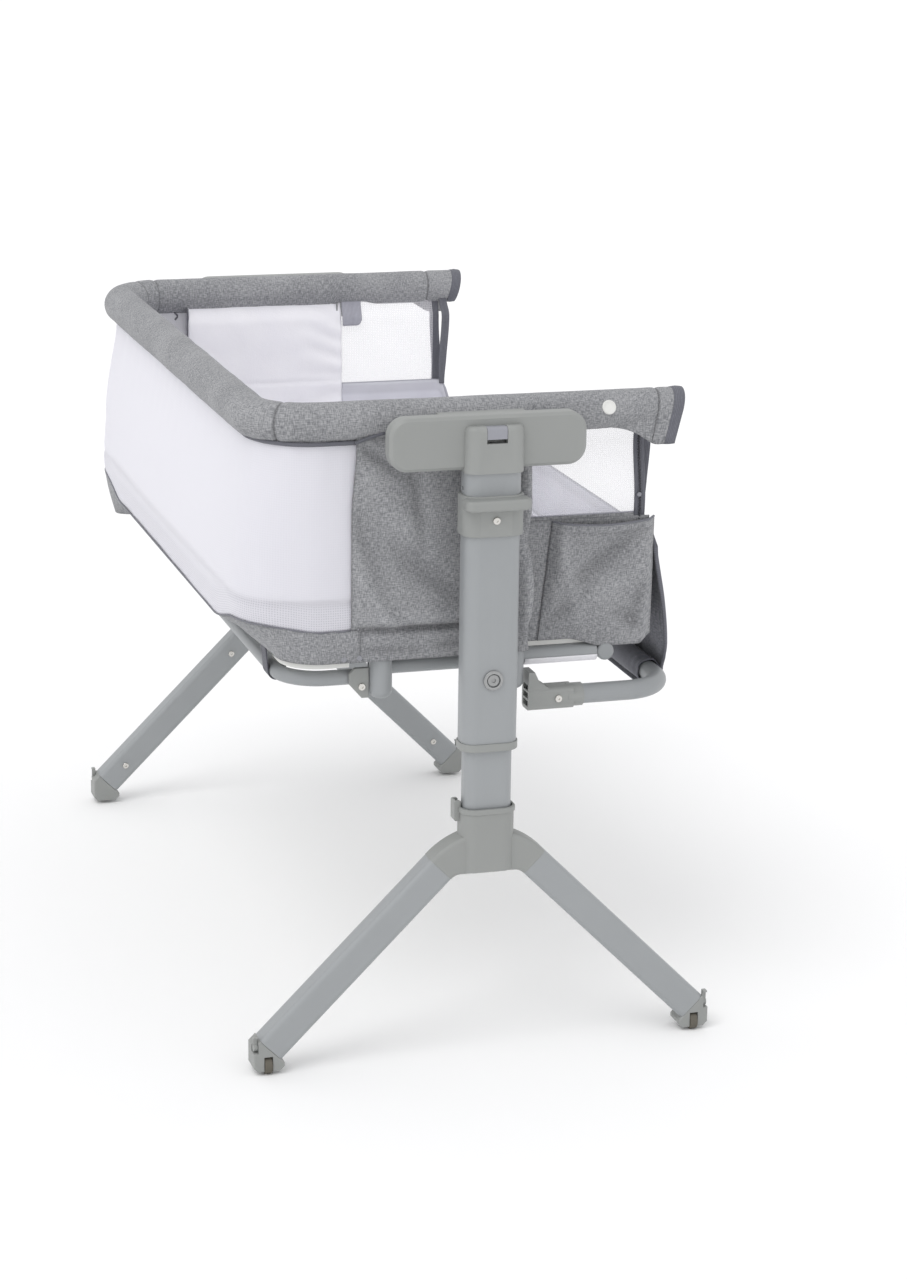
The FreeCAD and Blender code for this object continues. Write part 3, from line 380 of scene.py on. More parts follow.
def wallPath(endX, turnX, halfY, bend):
    # a level U: near end, corner, long side, corner, far end. at(s) gives x, y and the outward normal
    side = 1 if turnX > endX else -1
    straight = abs(turnX - endX) - bend
    arc = bend * pi / 2
    middle = 2 * (halfY - bend)
    cornerX = turnX - side * bend

    def at(s):
        if s < straight:
            return endX + side * s, -halfY, 0, -1
        s -= straight
        if s < arc:
            a = s / bend
            return (cornerX + side * bend * sin(a), -halfY + bend - bend * cos(a),
                    side * sin(a), -cos(a))
        s -= arc
        if s < middle:
            return turnX, -halfY + bend + s, side, 0
        s -= middle
        if s < arc:
            a = s / bend
            return (cornerX + side * bend * cos(a), halfY - bend + bend * sin(a),
                    side * cos(a), sin(a))
        s -= arc
        return cornerX - side * s, halfY, 0, 1
    return at, 2 * straight + 2 * arc + middle, straight, arc, middle


def foldsAt(x, z, lines):
    # each crease is (x0, z0, x1, z1, width, depth); depth below zero is a valley
    total = 0
    for x0, z0, x1, z1, width, depth in lines:
        dx, dz = x1 - x0, z1 - z0
        t = min(1, max(0, ((x - x0) * dx + (z - z0) * dz) / (dx * dx + dz * dz)))
        gap = hypot(x - x0 - t * dx, z - z0 - t * dz)
        total += depth * ridge(gap, width) * (0.35 + 0.65 * sin(pi * (0.12 + 0.76 * t)))
    return total


# the padded rim: a stuffed sleeve round the arms, open below where the raised rail goes in
rim = {"endX": 0.232, "turnX": -0.232, "halfY": 0.417, "bend": 0.060, "z": 0.700, "radius": 0.0205,
       "cuffZ": 0.664, "pinch": 0.0014, "wall": 0.003}
rimAt, rimLength, rimStraight, rimArc, rimMiddle = wallPath(rim["endX"], rim["turnX"], rim["halfY"],
                                                            rim["bend"])
farCorner = rimStraight + rimArc + rimMiddle
rimSeams = [rimStraight + rimArc * 0.42, farCorner + rimArc * 0.93, farCorner + rimArc * 0.66,
            rim["endX"] - 0.203, rimLength - (rim["endX"] - 0.186)]


def rimPoint(s, v, proud=0.0):
    x, y, nx, ny = rimAt(s)
    gap = radians(2 + 52 * smooth(0.049, 0.0605, x) - 17 * smooth(0.095, 0.120, x))
    cuff = smooth(0.140, 0.212, x)
    outer = pi - gap * (1 - cuff) - cuff * radians(84)
    inner = -(pi - gap)
    angle = outer if v < 0.12 else outer + (inner - outer) * (v - 0.12) / 0.88
    nearSeam = min(abs(s - seam) for seam in rimSeams)
    lump = waver(s * 16, angle * 0.7, 3.1) + 0.5 * waver(s * 45, angle * 2, 9)
    onBend = smooth(0.5, 1, 2 * min(abs(nx), abs(ny)) + 0.3)
    wrinkle = onBend * (0.5 + 0.5 * sin(s * 210 + 2 * sin(angle)))
    wrinkle *= smooth(0.2, -0.9, cos(angle))
    radius = rim["radius"] + proud + 0.0005 * lump - 0.0006 * wrinkle
    radius -= rim["pinch"] * ridge(nearSeam, 0.0028)
    out, z = radius * sin(angle), rim["z"] + radius * cos(angle)
    if v < 0.12:
        drop = (z - rim["cuffZ"]) * cuff * (1 - v / 0.12)
        z -= drop
        out += 0.0006 * sin(x * 400) * (1 - v / 0.12) * cuff
    # tone: painted shade in the pinched seams and in the wrinkles on the bends; the lump term varies it a
    # little at random
    tone = -0.50 * ridge(nearSeam, 0.0015) - 0.10 * wrinkle + 0.02 * lump
    x -= 0.24 * (rim["z"] + 0.021 - z) * smooth(0.16, 0.225, x)    # the cuff's mouth leans back
    return x + nx * out, y + ny * out, z, tone


stops = {i / 340 for i in range(341)}
for seam in rimSeams:    # closer rings at each seam, so that its pinch keeps its shape
    stops |= {(seam + step * side * 0.001) / rimLength for step in (5, 3.4, 2.2, 1.2, 0.5)
              for side in (-1, 1)}
rimRoll = makeSheet("rimRoll", lambda u, v: rimPoint(u * rimLength, v), sorted(stops), 48, rimLength,
                    0.14, heatherGrey, rim["wall"])
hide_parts("near_rim_cover", "far_rim_cover", "side_rim_cover", "rim_sleeves")

cuffTape = {"width": 0.0125, "proud": 0.0021}
for name, first in (("nearCuffTape", -0.0004), ("farCuffTape", rimLength + 0.0004 - cuffTape["width"])):
    strip = makeSheet(name, lambda u, v, first=first: rimPoint(first + u * cuffTape["width"], v,
                                                               cuffTape["proud"] - 0.0008 * abs(2 * u - 1)),
                      6, 48, cuffTape["width"], 0.14, charcoalTape, 0.0009)
print("rim done:", round(rimLength, 3), "m of roll")


# the closed side: white knit above, a heather band below that slopes in under the long side
closedSide = {"endX": -0.131, "turnX": -0.241, "halfY": 0.4305, "bend": 0.068, "lowZ": 0.4755,
              "topZ": 0.6855, "bandZ": 0.441, "tuck": 0.029, "foldZ": 0.506}
sideAt, sideLength = wallPath(closedSide["endX"], closedSide["turnX"], closedSide["halfY"],
                              closedSide["bend"])[:2]
lowAt, lowLength = wallPath(closedSide["endX"], closedSide["turnX"] + closedSide["tuck"],
                            closedSide["halfY"] + 0.0015, 0.046)[:2]


def lowEdge(nx, y):
    # the seam between knit and band climbs a little round the corners and dips under the long side
    return (closedSide["lowZ"] + 0.008 * smooth(0.0, 0.9, abs(nx))
            - 0.0205 * smooth(0.385, 0.270, abs(y)) * smooth(0.9, 1.0, abs(nx)))


def sideBulge(z, along):
    # how far the cloth stands out at a height; full on the long side, little on the ends
    full = (-0.0045 * smooth(0.625, 0.690, z) + 0.0115 * smooth(0.670, 0.560, z)
            + 0.0035 * smooth(0.560, 0.500, z) - 0.0035 * smooth(0.505, 0.470, z))
    return full * (0.12 + 0.88 * along)


def sidePoint(u, v):
    s = u * sideLength
    x, y, nx, ny = sideAt(s)
    base = lowEdge(nx, y)
    z = base + v * (closedSide["topZ"] - base)
    along = smooth(0.3, 1.0, abs(nx))
    sway = waver(s * 5, z * 9, 1.7) * 0.0012 + waver(s * 17, z * 22, 4) * 0.0005
    tucked = 0.0016 * smooth(-0.152, -0.139, x)
    fold = ridge(z - closedSide["foldZ"] - 0.004 * sin(s * 9), 0.0045)
    ripple = smooth(0.60, 0.684, z) * 0.0005 * sin(s * 150 + 3 * sin(s * 11))
    out = sideBulge(z, along) + sway * smooth(0.684, 0.66, z) - 0.0011 * fold + ripple - tucked
    # tone: painted shade in the fold and under the roll at the top, and in the tuck beside the lining's edge;
    # the knit is lighter below z 0.50
    tone = -0.05 * fold + 0.05 * smooth(0.508, 0.498, z) - 0.02 * smooth(0.66, 0.683, z)
    if abs(x) < 0.142:
        tone -= 0.06 * ridge(abs(x) - 0.140, 0.004)
    return x + nx * out, y + ny * out, z, tone


closedSideMesh = makeSheet("closedSideMesh", sidePoint, 260, 56, sideLength, 0.21, whiteKnit, 0.0012)
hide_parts("closed_side_mesh")


def bandPoint(u, v):
    x, y, nx, ny = sideAt(u * sideLength)
    along = smooth(0.3, 1.0, abs(nx))
    top = lowEdge(nx, y) + 0.001
    out = sideBulge(top, along) + 0.0014
    highX, highY = x + nx * out, y + ny * out
    lowX, lowY = lowAt(u * lowLength)[:2]
    # the far corner is slack and hangs straighter
    hang = smooth(0.290, 0.385, y) * smooth(0.2, 0.8, abs(nx))
    lowX += 0.72 * hang * (highX - lowX)
    lowY += 0.72 * hang * (highY - lowY)
    bottom = closedSide["bandZ"] - 0.014 * hang
    z = bottom + v * (top - bottom)
    puff = 0.0022 * sin(pi * v) * (1 + 0.5 * sin(u * 55))
    pucker = 0.0006 * sin(u * sideLength * 260) * smooth(0.75, 1, v)
    # tone: painted shade along the seam under the knit, along the low edge and towards the bottom where the
    # band slopes in; the waver term varies it at random
    tone = -0.22 * ridge(v - 1, 0.05) - 0.16 * ridge(v, 0.06) - 0.05 * smooth(0.5, 0, v)
    tone += 0.05 * waver(u * 30, v * 2, 2)
    return (lowX + (highX - lowX) * v + nx * (puff + pucker),
            lowY + (highY - lowY) * v + ny * (puff + pucker), z, tone)


bottomBand = makeSheet("bottomBand", bandPoint, 240, 16, sideLength, 0.042, heatherGrey, 0.0016)
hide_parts("bottom_band")


def ringPath(z, out, startX):
    steps = 200
    points = []
    for i in range(steps + 1):
        x, y, nx, ny = sideAt(i / steps * sideLength)
        level = z or lowEdge(nx, y) + 0.0008
        push = sideBulge(level, smooth(0.3, 1.0, abs(nx))) + out
        points.append((x + nx * push, y + ny * push, level))
    return [p for p in points if p[0] < startX]


rimBinding = makePiping("rimBinding", ringPath(0.6805, 0.0022, -0.1335), 0.0024, charcoalTape)
panelBinding = makePiping("panelBinding", [(-0.137 + 0.004 * i, -0.4345 - 0.00032 * i,
                                            0.6805 + 0.0016 * i - 0.00004 * i * i) for i in range(9)],
                          0.0018, charcoalTape)
bandPiping = makePiping("bandPiping", ringPath(0, 0.0017, -0.1375), 0.0009, heatherDark)


# end panels outside the uprights, with the folds of cloth pulled to the frame
panel = {"outY": 0.4325, "rightX": 0.0610, "lowZ": 0.4405, "topZ": 0.6875, "turn": 0.009, "innerY": 0.398}
nearFolds = [(-0.135, 0.676, -0.075, 0.640, 0.007, -0.0025), (-0.120, 0.640, -0.050, 0.560, 0.014, 0.0022),
             (-0.136, 0.600, -0.100, 0.520, 0.010, -0.0020), (-0.090, 0.560, -0.010, 0.500, 0.012, -0.0022),
             (-0.132, 0.476, 0.020, 0.474, 0.0042, -0.0036), (-0.128, 0.486, 0.000, 0.484, 0.006, 0.0024),
             (-0.070, 0.660, -0.060, 0.560, 0.009, -0.0018), (-0.130, 0.530, -0.085, 0.470, 0.008, 0.0022),
             (0.030, 0.640, 0.058, 0.560, 0.008, -0.0026), (0.040, 0.600, 0.062, 0.480, 0.008, 0.0026),
             (0.020, 0.560, 0.052, 0.450, 0.010, -0.0024), (-0.040, 0.452, 0.040, 0.456, 0.006, -0.0020),
             (-0.120, 0.452, -0.060, 0.448, 0.005, -0.0018), (0.028, 0.684, 0.050, 0.618, 0.006, -0.0026)]
farFolds = [(-0.134, 0.670, -0.060, 0.650, 0.008, -0.0022), (-0.125, 0.610, -0.070, 0.540, 0.012, 0.0022),
            (-0.100, 0.560, 0.000, 0.510, 0.012, -0.0022), (-0.130, 0.474, 0.030, 0.477, 0.0045, -0.0032),
            (0.025, 0.650, 0.055, 0.540, 0.009, -0.0024), (-0.090, 0.660, -0.080, 0.570, 0.009, -0.0018),
            (0.045, 0.590, 0.060, 0.470, 0.008, 0.0024), (-0.010, 0.540, 0.050, 0.455, 0.010, -0.0022)]


def panelPoint(u, v, end, folds):
    z = panel["lowZ"] + v * (panel["topZ"] - panel["lowZ"])
    leftX = -0.1415 + 0.0055 * smooth(0.600, 0.684, z) + 0.0015 * smooth(0.441, 0.470, z)
    reach = panel["rightX"] - leftX
    s = u * (reach + panel["outY"] - panel["innerY"] - 0.43 * panel["turn"])
    straight = reach - panel["turn"]
    arc = panel["turn"] * pi / 2
    if s < straight:
        x, y, nx, ny = leftX + s, -panel["outY"], 0, -1
    elif s < straight + arc:
        a = (s - straight) / panel["turn"]
        x = panel["rightX"] - panel["turn"] * (1 - sin(a))
        y = -panel["outY"] + panel["turn"] * (1 - cos(a))
        nx, ny = sin(a), -cos(a)
    else:
        x, y, nx, ny = panel["rightX"], -panel["outY"] + panel["turn"] + (s - straight - arc), 1, 0
    depth = foldsAt(x, z, folds)
    soft = 0.0011 * waver(x * 14, z * 14, 5 * end) + 0.0005 * waver(x * 50, z * 34, 2)
    loose = smooth(0, 0.06, u) * smooth(0, 0.05, v) * smooth(1, 0.95, v)
    belly = 0.0018 * sin(pi * v) * sin(pi * min(1, u * 1.2))
    out = (depth * 2.5 + soft * 1.5 + belly) * loose
    if y > -0.425:
        out = min(out, 0.0)
    edge = smooth(0.0, 0.012, u)
    # tone: painted shade in the fold valleys and along the left, low and top edges, painted highlight on the
    # fold ridges
    tone = 66 * min(0, depth) * loose + 22 * max(0, depth) * loose - 0.30 * (1 - edge) * ridge(u, 0.009)
    tone -= 0.14 * ridge(v, 0.012) + 0.10 * smooth(0.96, 1, v)
    return x + nx * out, (y + ny * out) * end, z, tone


for word, end, folds in (("near", 1, nearFolds), ("far", -1, farFolds)):
    piece = makeSheet(word + "EndPanel", partial(panelPoint, end=end, folds=folds),
                      120, 110, 0.235, 0.247, heatherGrey, 0.0016)
    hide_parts(word + "_end_panel")


# linings inside each end, soft and a little wrinkled
def underRoll(z):
    # the top edge turns outwards to reach the seam under the padded roll
    return 0.0070 * smooth(0.664, 0.686, z)


lining = {"leftX": -0.1375, "rightX": 0.0655, "y": 0.3945, "outY": 0.3960, "lowZ": 0.445, "topZ": 0.6865}


def liningPoint(u, v, end):
    z = lining["lowZ"] + v * (lining["topZ"] - lining["lowZ"])
    back, run = lining["outY"] - lining["y"], lining["rightX"] - lining["leftX"]
    s = u * (back + run)
    if s < back:
        x, y = lining["leftX"], -lining["outY"] + s
    else:
        x, y = lining["leftX"] + s - back, -lining["y"]
    corner = ridge(s - back, 0.008)
    pulled = smooth(-0.02, 0.06, x)
    crumple = pulled * sin((z + 0.10 * waver(x * 9, z * 9, 2)) * 190) * 0.0011
    soft = 0.0022 * waver(x * 11, z * 8, 4 + end) + 0.0007 * waver(x * 34, z * 30, 7)
    seamLine = ridge(z - 0.585, 0.003) * 0.0012
    inward = (0.0024 * sin(pi * v) * smooth(0, 0.06, s - back) + crumple + soft - seamLine)
    inward *= smooth(0, 0.03, v) * smooth(1, 0.96, v)
    # tone: painted shade in the crumples, in the corner and along the seam at z 0.585; the soft term paints
    # it lighter and darker with the cloth's swells
    tone = 26 * min(0, crumple) + 8 * soft - 0.05 * ridge(z - 0.585, 0.002) - 0.05 * corner
    if s < back:
        return x - corner * 0.002 + 0.3 * inward, y * end, z, tone
    return x, (y + inward - underRoll(z)) * end, z, tone


for word, end in bothEnds:
    piece = makeSheet(word + "EndLining", partial(liningPoint, end=end), 90, 96, 0.236, 0.249,
                      paleLining, 0.0012)
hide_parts("end_linings")
for word, end in bothEnds:
    edge = makePiping(word + "LiningBinding", [liningPoint(0, i / 40, end)[:3] for i in range(41)], 0.0011,
                      charcoalTape)
    knot = [(-0.1530 - 0.0020 * sin(i * 0.9), (-0.4085 + 0.0006 * i) * end, 0.6840 - 0.0016 * i)
            for i in range(9)]
    tie = makePiping(word + "CornerTie", knot, 0.0013, charcoalTape)


# the low wall round the open side: heather outside, lilac lining inside, bound along the top
lowWall = {"endX": 0.0635, "turnX": 0.2082, "halfY": 0.3955, "bend": 0.018, "lowZ": 0.441,
           "endTop": 0.580, "sideTop": 0.557}
wallAt, wallLength = wallPath(lowWall["endX"], lowWall["turnX"], lowWall["halfY"], lowWall["bend"])[:2]


def wallTop(x, y):
    dip = smooth(0.198, 0.2075, x) * smooth(0.3955, 0.372, abs(y))
    return lowWall["endTop"] - (lowWall["endTop"] - lowWall["sideTop"]) * dip


def lowWallPoint(u, v, inset, wobble):
    s = u * wallLength
    x, y, nx, ny = wallAt(s)
    z = lowWall["lowZ"] + v * (wallTop(x, y) - lowWall["lowZ"])
    soft = wobble * (waver(s * 9, z * 12, 6) + 0.5 * waver(s * 30, z * 30, 1))
    soft *= smooth(0, 0.1, v) * smooth(1, 0.9, v)
    drag = wobble * 0.9 * sin(s * 60 + z * 45) * smooth(0.55, 1.0, v) * smooth(1, 0.93, v)
    out = min(0.0006, soft + drag) - inset
    hem = smooth(0.905, 0.912, v) if inset else 0    # turned hem, 12 mm deep, doubled; the tone makes this band darker
    # tone: painted shade where the cloth sinks in and along its low edge; the hem band is darker as well
    return (x + nx * (out - 0.0005 * hem), y + ny * (out - 0.0005 * hem), z,
            40 * min(0, soft + drag) - 0.14 * ridge(v, 0.02) - 0.13 * hem)


lowWallOuter = makeSheet("lowWallOuter", partial(lowWallPoint, inset=0.0, wobble=0.0012), 220, 34, wallLength,
                         0.13, heatherGrey, 0.0014)
lowWallLining = makeSheet("lowWallLining", partial(lowWallPoint, inset=0.0028, wobble=0.0014), 220, 34,
                          wallLength, 0.13, greyLining, 0.0012)
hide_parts("low_wall")
hemLine = []
for i in range(181):
    x, y, nx, ny = wallAt(i / 180 * wallLength)
    hemLine.append((x - nx * 0.0013, y - ny * 0.0013, wallTop(x, y) - 0.0008))
lowWallHem = makePiping("lowWallHem", hemLine, 0.0019, lilacTape)


# sheer windows above the low end walls, with a zip beside each
window = {"startX": 0.0640, "endX": 0.1910, "y": 0.3950, "lowZ": 0.5765, "topZ": 0.6890}


def windowPoint(u, v, end):
    x = window["startX"] + u * (window["endX"] - window["startX"])
    z = window["lowZ"] + v * (window["topZ"] - window["lowZ"])
    slack = sin(pi * u) * sin(pi * v)
    out = 0.0020 * slack + 0.0012 * slack * sin(x * 95 + z * 70)
    # tone: painted highlight where the sheer bellies out
    return x, (-window["y"] - out - underRoll(z)) * end, z, 0.05 * slack


for word, end in bothEnds:
    piece = makeSheet(word + "MeshWindow", partial(windowPoint, end=end), 40, 36, 0.127, 0.1185,
                      sheerKnit, 0.0)
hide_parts("mesh_windows")

zipStrip = {"x": 0.1885, "width": 0.0125, "lowZ": 0.560, "topZ": 0.688, "y": 0.3962, "toothPitch": 0.0030}


def zipPoint(u, v, end):
    z = zipStrip["lowZ"] + v * (zipStrip["topZ"] - zipStrip["lowZ"])
    sway = 0.0016 * sin((z - 0.56) * 46)
    return (zipStrip["x"] + u * zipStrip["width"] + sway, -(zipStrip["y"] + underRoll(z)) * end, z,
            -0.1 * ridge(u - 0.5, 0.3))


looseZip = {"x": 0.2022, "lean": 0.0030, "lowZ": 0.576, "length": 0.112, "width": 0.0105, "endWidth": 0.0070,
            "inward": 0.0105}


def looseZipPoint(u, v, end):
    # the other half of the zip hangs inside it, clear of the raised rail, narrowing to its end
    z = looseZip["lowZ"] + looseZip["length"] * v
    width = looseZip["endWidth"] + (looseZip["width"] - looseZip["endWidth"]) * smooth(0, 0.3, v)
    x = looseZip["x"] + looseZip["lean"] * v + (u - 0.5) * width + 0.0012 * sin(z * 50)
    y = zipStrip["y"] - looseZip["inward"] + underRoll(z) + 0.0065 * smooth(0.670, 0.686, z)
    return x, -y * end, z, -0.1 * ridge(u - 0.5, 0.3)


for word, end in bothEnds:
    tape = makeSheet(word + "ZipTape", partial(zipPoint, end=end), 8, 60, 0.0125, 0.13,
                     charcoalTape, 0.0010)
    coil, turns = [], int((zipStrip["topZ"] - zipStrip["lowZ"]) / zipStrip["toothPitch"])
    for i in range(turns * 6):
        z = zipStrip["lowZ"] + i / (turns * 6) * (zipStrip["topZ"] - zipStrip["lowZ"])
        sway = 0.0016 * sin((z - 0.56) * 46)
        swing = i / 6 * tau
        coil.append((zipStrip["x"] + 0.00625 + sway + 0.0012 * cos(swing),
                     -(zipStrip["y"] + underRoll(z) + 0.0009 + 0.0007 * sin(swing)) * end, z))
    chain = makePiping(word + "ZipCoil", coil, 0.0007, zipCoil, sides=6)
    pull = [(0.0020, 0), (0.0026, 0.0006), (0.0026, 0.0016), (0.0016, 0.0024), (0.0004, 0.0026)]
    slider = makeButton(word + "ZipPull", (zipStrip["x"] + 0.0062, (-zipStrip["y"] - 0.001) * end, 0.600),
                        (0, -end, 0), pull, buttonAbs)
    loose = makeSheet(word + "LooseZipHalf", partial(looseZipPoint, end=end), 6, 40,
                      looseZip["width"], looseZip["length"], charcoalTape, 0.0010)
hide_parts("zip_tapes")
print("walls done")


# pocket on the near end: a slack patch pocket with a turned hem, standing a little open
pocket = {"leftTop": 0.0990, "leftLow": 0.0800, "rightTop": 0.2125, "rightLow": 0.2115, "topZ": 0.575,
          "lowZ": 0.4415, "y": 0.3985, "belly": 0.0125, "hem": 0.010}
pocketFolds = [(0.092, 0.572, 0.125, 0.460, 0.010, 0.0026), (0.190, 0.560, 0.110, 0.505, 0.010, -0.0030),
               (0.200, 0.520, 0.130, 0.490, 0.012, 0.0030), (0.170, 0.470, 0.200, 0.450, 0.008, -0.0026),
               (0.130, 0.500, 0.090, 0.462, 0.008, -0.0022), (0.196, 0.500, 0.188, 0.455, 0.007, -0.0024)]


def pocketPoint(u, v):
    left = pocket["leftLow"] + (pocket["leftTop"] - 0.004 - pocket["leftLow"]) * v
    right = pocket["rightLow"] + (pocket["rightTop"] - pocket["rightLow"]) * v
    x = left + u * (right - left)
    droop = 0.004 * sin(pi * u)
    base = pocket["lowZ"] - 0.011 * smooth(0.25, 0.6, u) * smooth(1.0, 0.9, u)
    z = base + v * (pocket["topZ"] - droop * smooth(0.6, 1, v) - base)
    edge = smooth(0, 0.10, u) * smooth(1, 0.90, u)
    low = smooth(0, 0.16, v)
    standing = 0.45 + 0.55 * smooth(0.1, 0.55, v)
    fold = 1.8 * foldsAt(x, z, pocketFolds) * edge * smooth(0, 0.1, v)
    soft = 0.0008 * waver(x * 40, z * 30, 8) * edge
    bellyHere = pocket["belly"] * edge ** 0.6 * low * standing * (0.7 + 0.3 * sin(pi * u))
    hemStep = 0.0012 * smooth(1 - pocket["hem"] / 0.133, 1 - 0.8 * pocket["hem"] / 0.133, v)
    y = -pocket["y"] - bellyHere - fold - soft - hemStep * edge
    # tone: painted shade in the fold valleys, along the hem line and along the sides and bottom, painted
    # highlight on the fold ridges
    tone = 42 * min(0, fold) + 14 * max(0, fold) - 0.25 * ridge(v - 1 + pocket["hem"] / 0.133, 0.006)
    tone -= 0.25 * ridge(u, 0.012) + 0.25 * ridge(1 - u, 0.012) + 0.18 * ridge(v, 0.02)
    return x, y, z, tone


pocketSheet = makeSheet("pocketFront", pocketPoint, 70, 72, 0.130, 0.134, heatherGrey, 0.0016)
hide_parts("pocket")


def pocketBackPoint(u, v):
    x = 0.0640 + u * (0.2075 - 0.0640)
    soft = 0.0008 * waver(x * 16, v * 3, 3)
    # tone: painted shade along its low edge
    return x, -0.3972 - abs(soft), 0.4413 + v * 0.1350, -0.05 * ridge(v, 0.03)


pocketBack = makeSheet("pocketBacking", pocketBackPoint, 30, 30, 0.1435, 0.135, heatherGrey, 0.0008)
pocketHemLine = [pocketPoint(i / 40, 1.0)[:3] for i in range(41)]
pocketHem = makePiping("pocketHem", pocketHemLine, 0.0013, heatherDark)
# the raised rail brushes past the pocket; the pocket and its hem get mesh data of their own
for piece in (pocketSheet, pocketHem):
    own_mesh(piece)


# drop panel: hangs from the low wall's edge round the outside of the lowered rail
dropPanel = {"path": [(0.2116, 0.5555), (0.2150, 0.540), (0.2270, 0.480), (0.2385, 0.420), (0.2445, 0.400),
                      (0.2460, 0.385), (0.2442, 0.3720), (0.2385, 0.3625), (0.2300, 0.3585)],
             "widths": [0.392, 0.399, 0.388, 0.368, 0.356, 0.348, 0.342, 0.338, 0.336]}


def dropPoint(u, v):
    place = v * (len(dropPanel["path"]) - 1)
    i = min(int(place), len(dropPanel["path"]) - 2)
    t = place - i
    (x0, z0), (x1, z1) = dropPanel["path"][i], dropPanel["path"][i + 1]
    half = dropPanel["widths"][i] + (dropPanel["widths"][i + 1] - dropPanel["widths"][i]) * t
    y = (2 * u - 1) * half
    loose = smooth(0, 0.15, v) * smooth(0.62, 0.42, v)
    drape = 0.0030 * sin(y * 34 + 1.5 * sin(y * 11)) + 0.0018 * sin(y * 83 + v * 4)
    out = abs(drape) * loose
    # tone: painted light and shade across the waves of the drape, painted shade along its top edge and its
    # ends
    tone = 12.5 * drape * loose - 0.2 * ridge(v, 0.02) - 0.15 * (ridge(u, 0.006) + ridge(1 - u, 0.006))
    return x0 + (x1 - x0) * t + out, y, z0 + (z1 - z0) * t, tone


dropSheet = makeSheet("dropPanelCloth", dropPoint, 200, 64, 0.78, 0.205, heatherDark, 0.0012, body=None)
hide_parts("drop_panel")
dropEdges = []
for word, u in (("near", 0.0), ("far", 1.0)):
    edge = makePiping(word + "DropPanelBinding", [dropPoint(u, i / 40)[:3] for i in range(41)], 0.0032,
                      charcoalTape, body=None, flat=0.7)
    dropEdges.append(edge)
for piece in [dropSheet] + dropEdges:
    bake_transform(piece)


# sleeve of the drop panel round the rail
sleeve = {"x": 0.230, "z": 0.383, "radius": 0.0144, "half": 0.351}


def sleevePoint(u, v):
    y = (2 * u - 1) * sleeve["half"]
    angle = v * tau
    gather = smooth(-0.30, -0.345, y) + smooth(0.30, 0.345, y)
    radius = sleeve["radius"] - 0.0006 + 0.0006 * sin(angle * 5 + y * 30) * gather
    radius -= 0.0014 * gather * (0.5 + 0.5 * sin(y * 420))
    # tone: painted shade in the gathers towards each end
    return (sleeve["x"] + radius * cos(angle), y, sleeve["z"] + radius * sin(angle),
            -0.12 * gather * (0.5 + 0.5 * sin(y * 420)))


railSleeve = makeSheet("railSleeve", sleevePoint, 300, 28, 0.702, 0.09, charcoalTape, 0.0010,
                       body="drop_rail")
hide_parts("rail_sleeve")


# mattress: foam pad in a sewn cover, swelled by cloth pressure, with piping round the top
mattress = {"voxel": 0.006, "shrink": 0.004, "pressure": 3.0, "cap": 0.006, "piping": 0.0022,
            "frames": 20, "quilting": 0.14}
low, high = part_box("mattress")


def bedOutline(inset):
    # a narrow pad between the end linings, with a wider part under the closed side
    wideX, sideX, openX = low[0] + inset, -0.1400, high[0] - inset
    wideY, mainY = high[1] - inset, 0.3912 - inset
    outline = []
    for cx, cy, r, first in ((openX - 0.014, mainY - 0.014, 0.014, 0), (sideX - 0.004, mainY + 0.002, 0, 0),
                             (wideX + 0.040, wideY - 0.040, 0.040, 90)):
        if r:
            turn = [radians(first + a) for a in range(0, 91, 10)]
            outline += [(cx + r * cos(a), cy + r * sin(a)) for a in turn]
        else:
            outline += [(sideX, mainY), (sideX, wideY)]
    return outline + [(x, -y) for x, y in reversed(outline)]


def ringAt(z, inset):
    return [(x, y, z) for x, y in bedOutline(inset)]


layers = [(low[2] + 0.0005, 0.008), (low[2] + 0.004, mattress["shrink"]),
          (low[2] + 0.027, mattress["shrink"] - 0.001), (high[2] - 0.008, mattress["shrink"]),
          (high[2] - 0.0045, 0.007), (high[2] - 0.0035, 0.012)]
pad = makeLoft("mattressPad", [ringAt(z, inset) for z, inset in layers], paleLining)
even = pad.modifiers.new("even", "REMESH")
even.mode, even.voxel_size = "VOXEL", mattress["voxel"]
depsgraph = bpy.context.evaluated_depsgraph_get()
pad.data = bpy.data.meshes.new_from_object(pad.evaluated_get(depsgraph))
pad.modifiers.clear()
start = [v.co.copy() for v in pad.data.vertices]
cloth = pad.modifiers.new("swell", "CLOTH")
cloth.settings.use_pressure = True
cloth.settings.uniform_pressure_force = mattress["pressure"]
cloth.settings.effector_weights.gravity = 0
scene.frame_start, scene.frame_end = 1, mattress["frames"]
for step in range(1, mattress["frames"] + 1):
    scene.frame_set(step)
swollen = bpy.data.meshes.new_from_object(pad.evaluated_get(bpy.context.evaluated_depsgraph_get()))
pad.modifiers.clear()
for vertex, was in zip(swollen.vertices, start):
    move = vertex.co - was
    if move.length > mattress["cap"]:
        move *= mattress["cap"] / move.length
    place = was + move
    dimple = 0.0025 * ridge(sin(place.y * pi / mattress["quilting"]), 0.10)
    dimple *= smooth(high[2] - 0.01, high[2], place.z)
    place.z = min(max(place.z - dimple, low[2] + 0.0003), high[2] + 0.004)
    place.x = min(max(place.x, low[0] - 0.001), high[0] + 0.001)
    place.y = min(max(place.y, low[1] - 0.001), high[1] + 0.001)
    vertex.co = place
pad.data = swollen
scene.frame_set(1)
swollen.materials.clear()
swollen.materials.append(paleLining)
swollen.shade_smooth()
rounder = pad.modifiers.new("rounder", "SUBSURF")
rounder.levels = rounder.render_levels = 1
skirtTop, skirtDrop = 0.512, 0.030
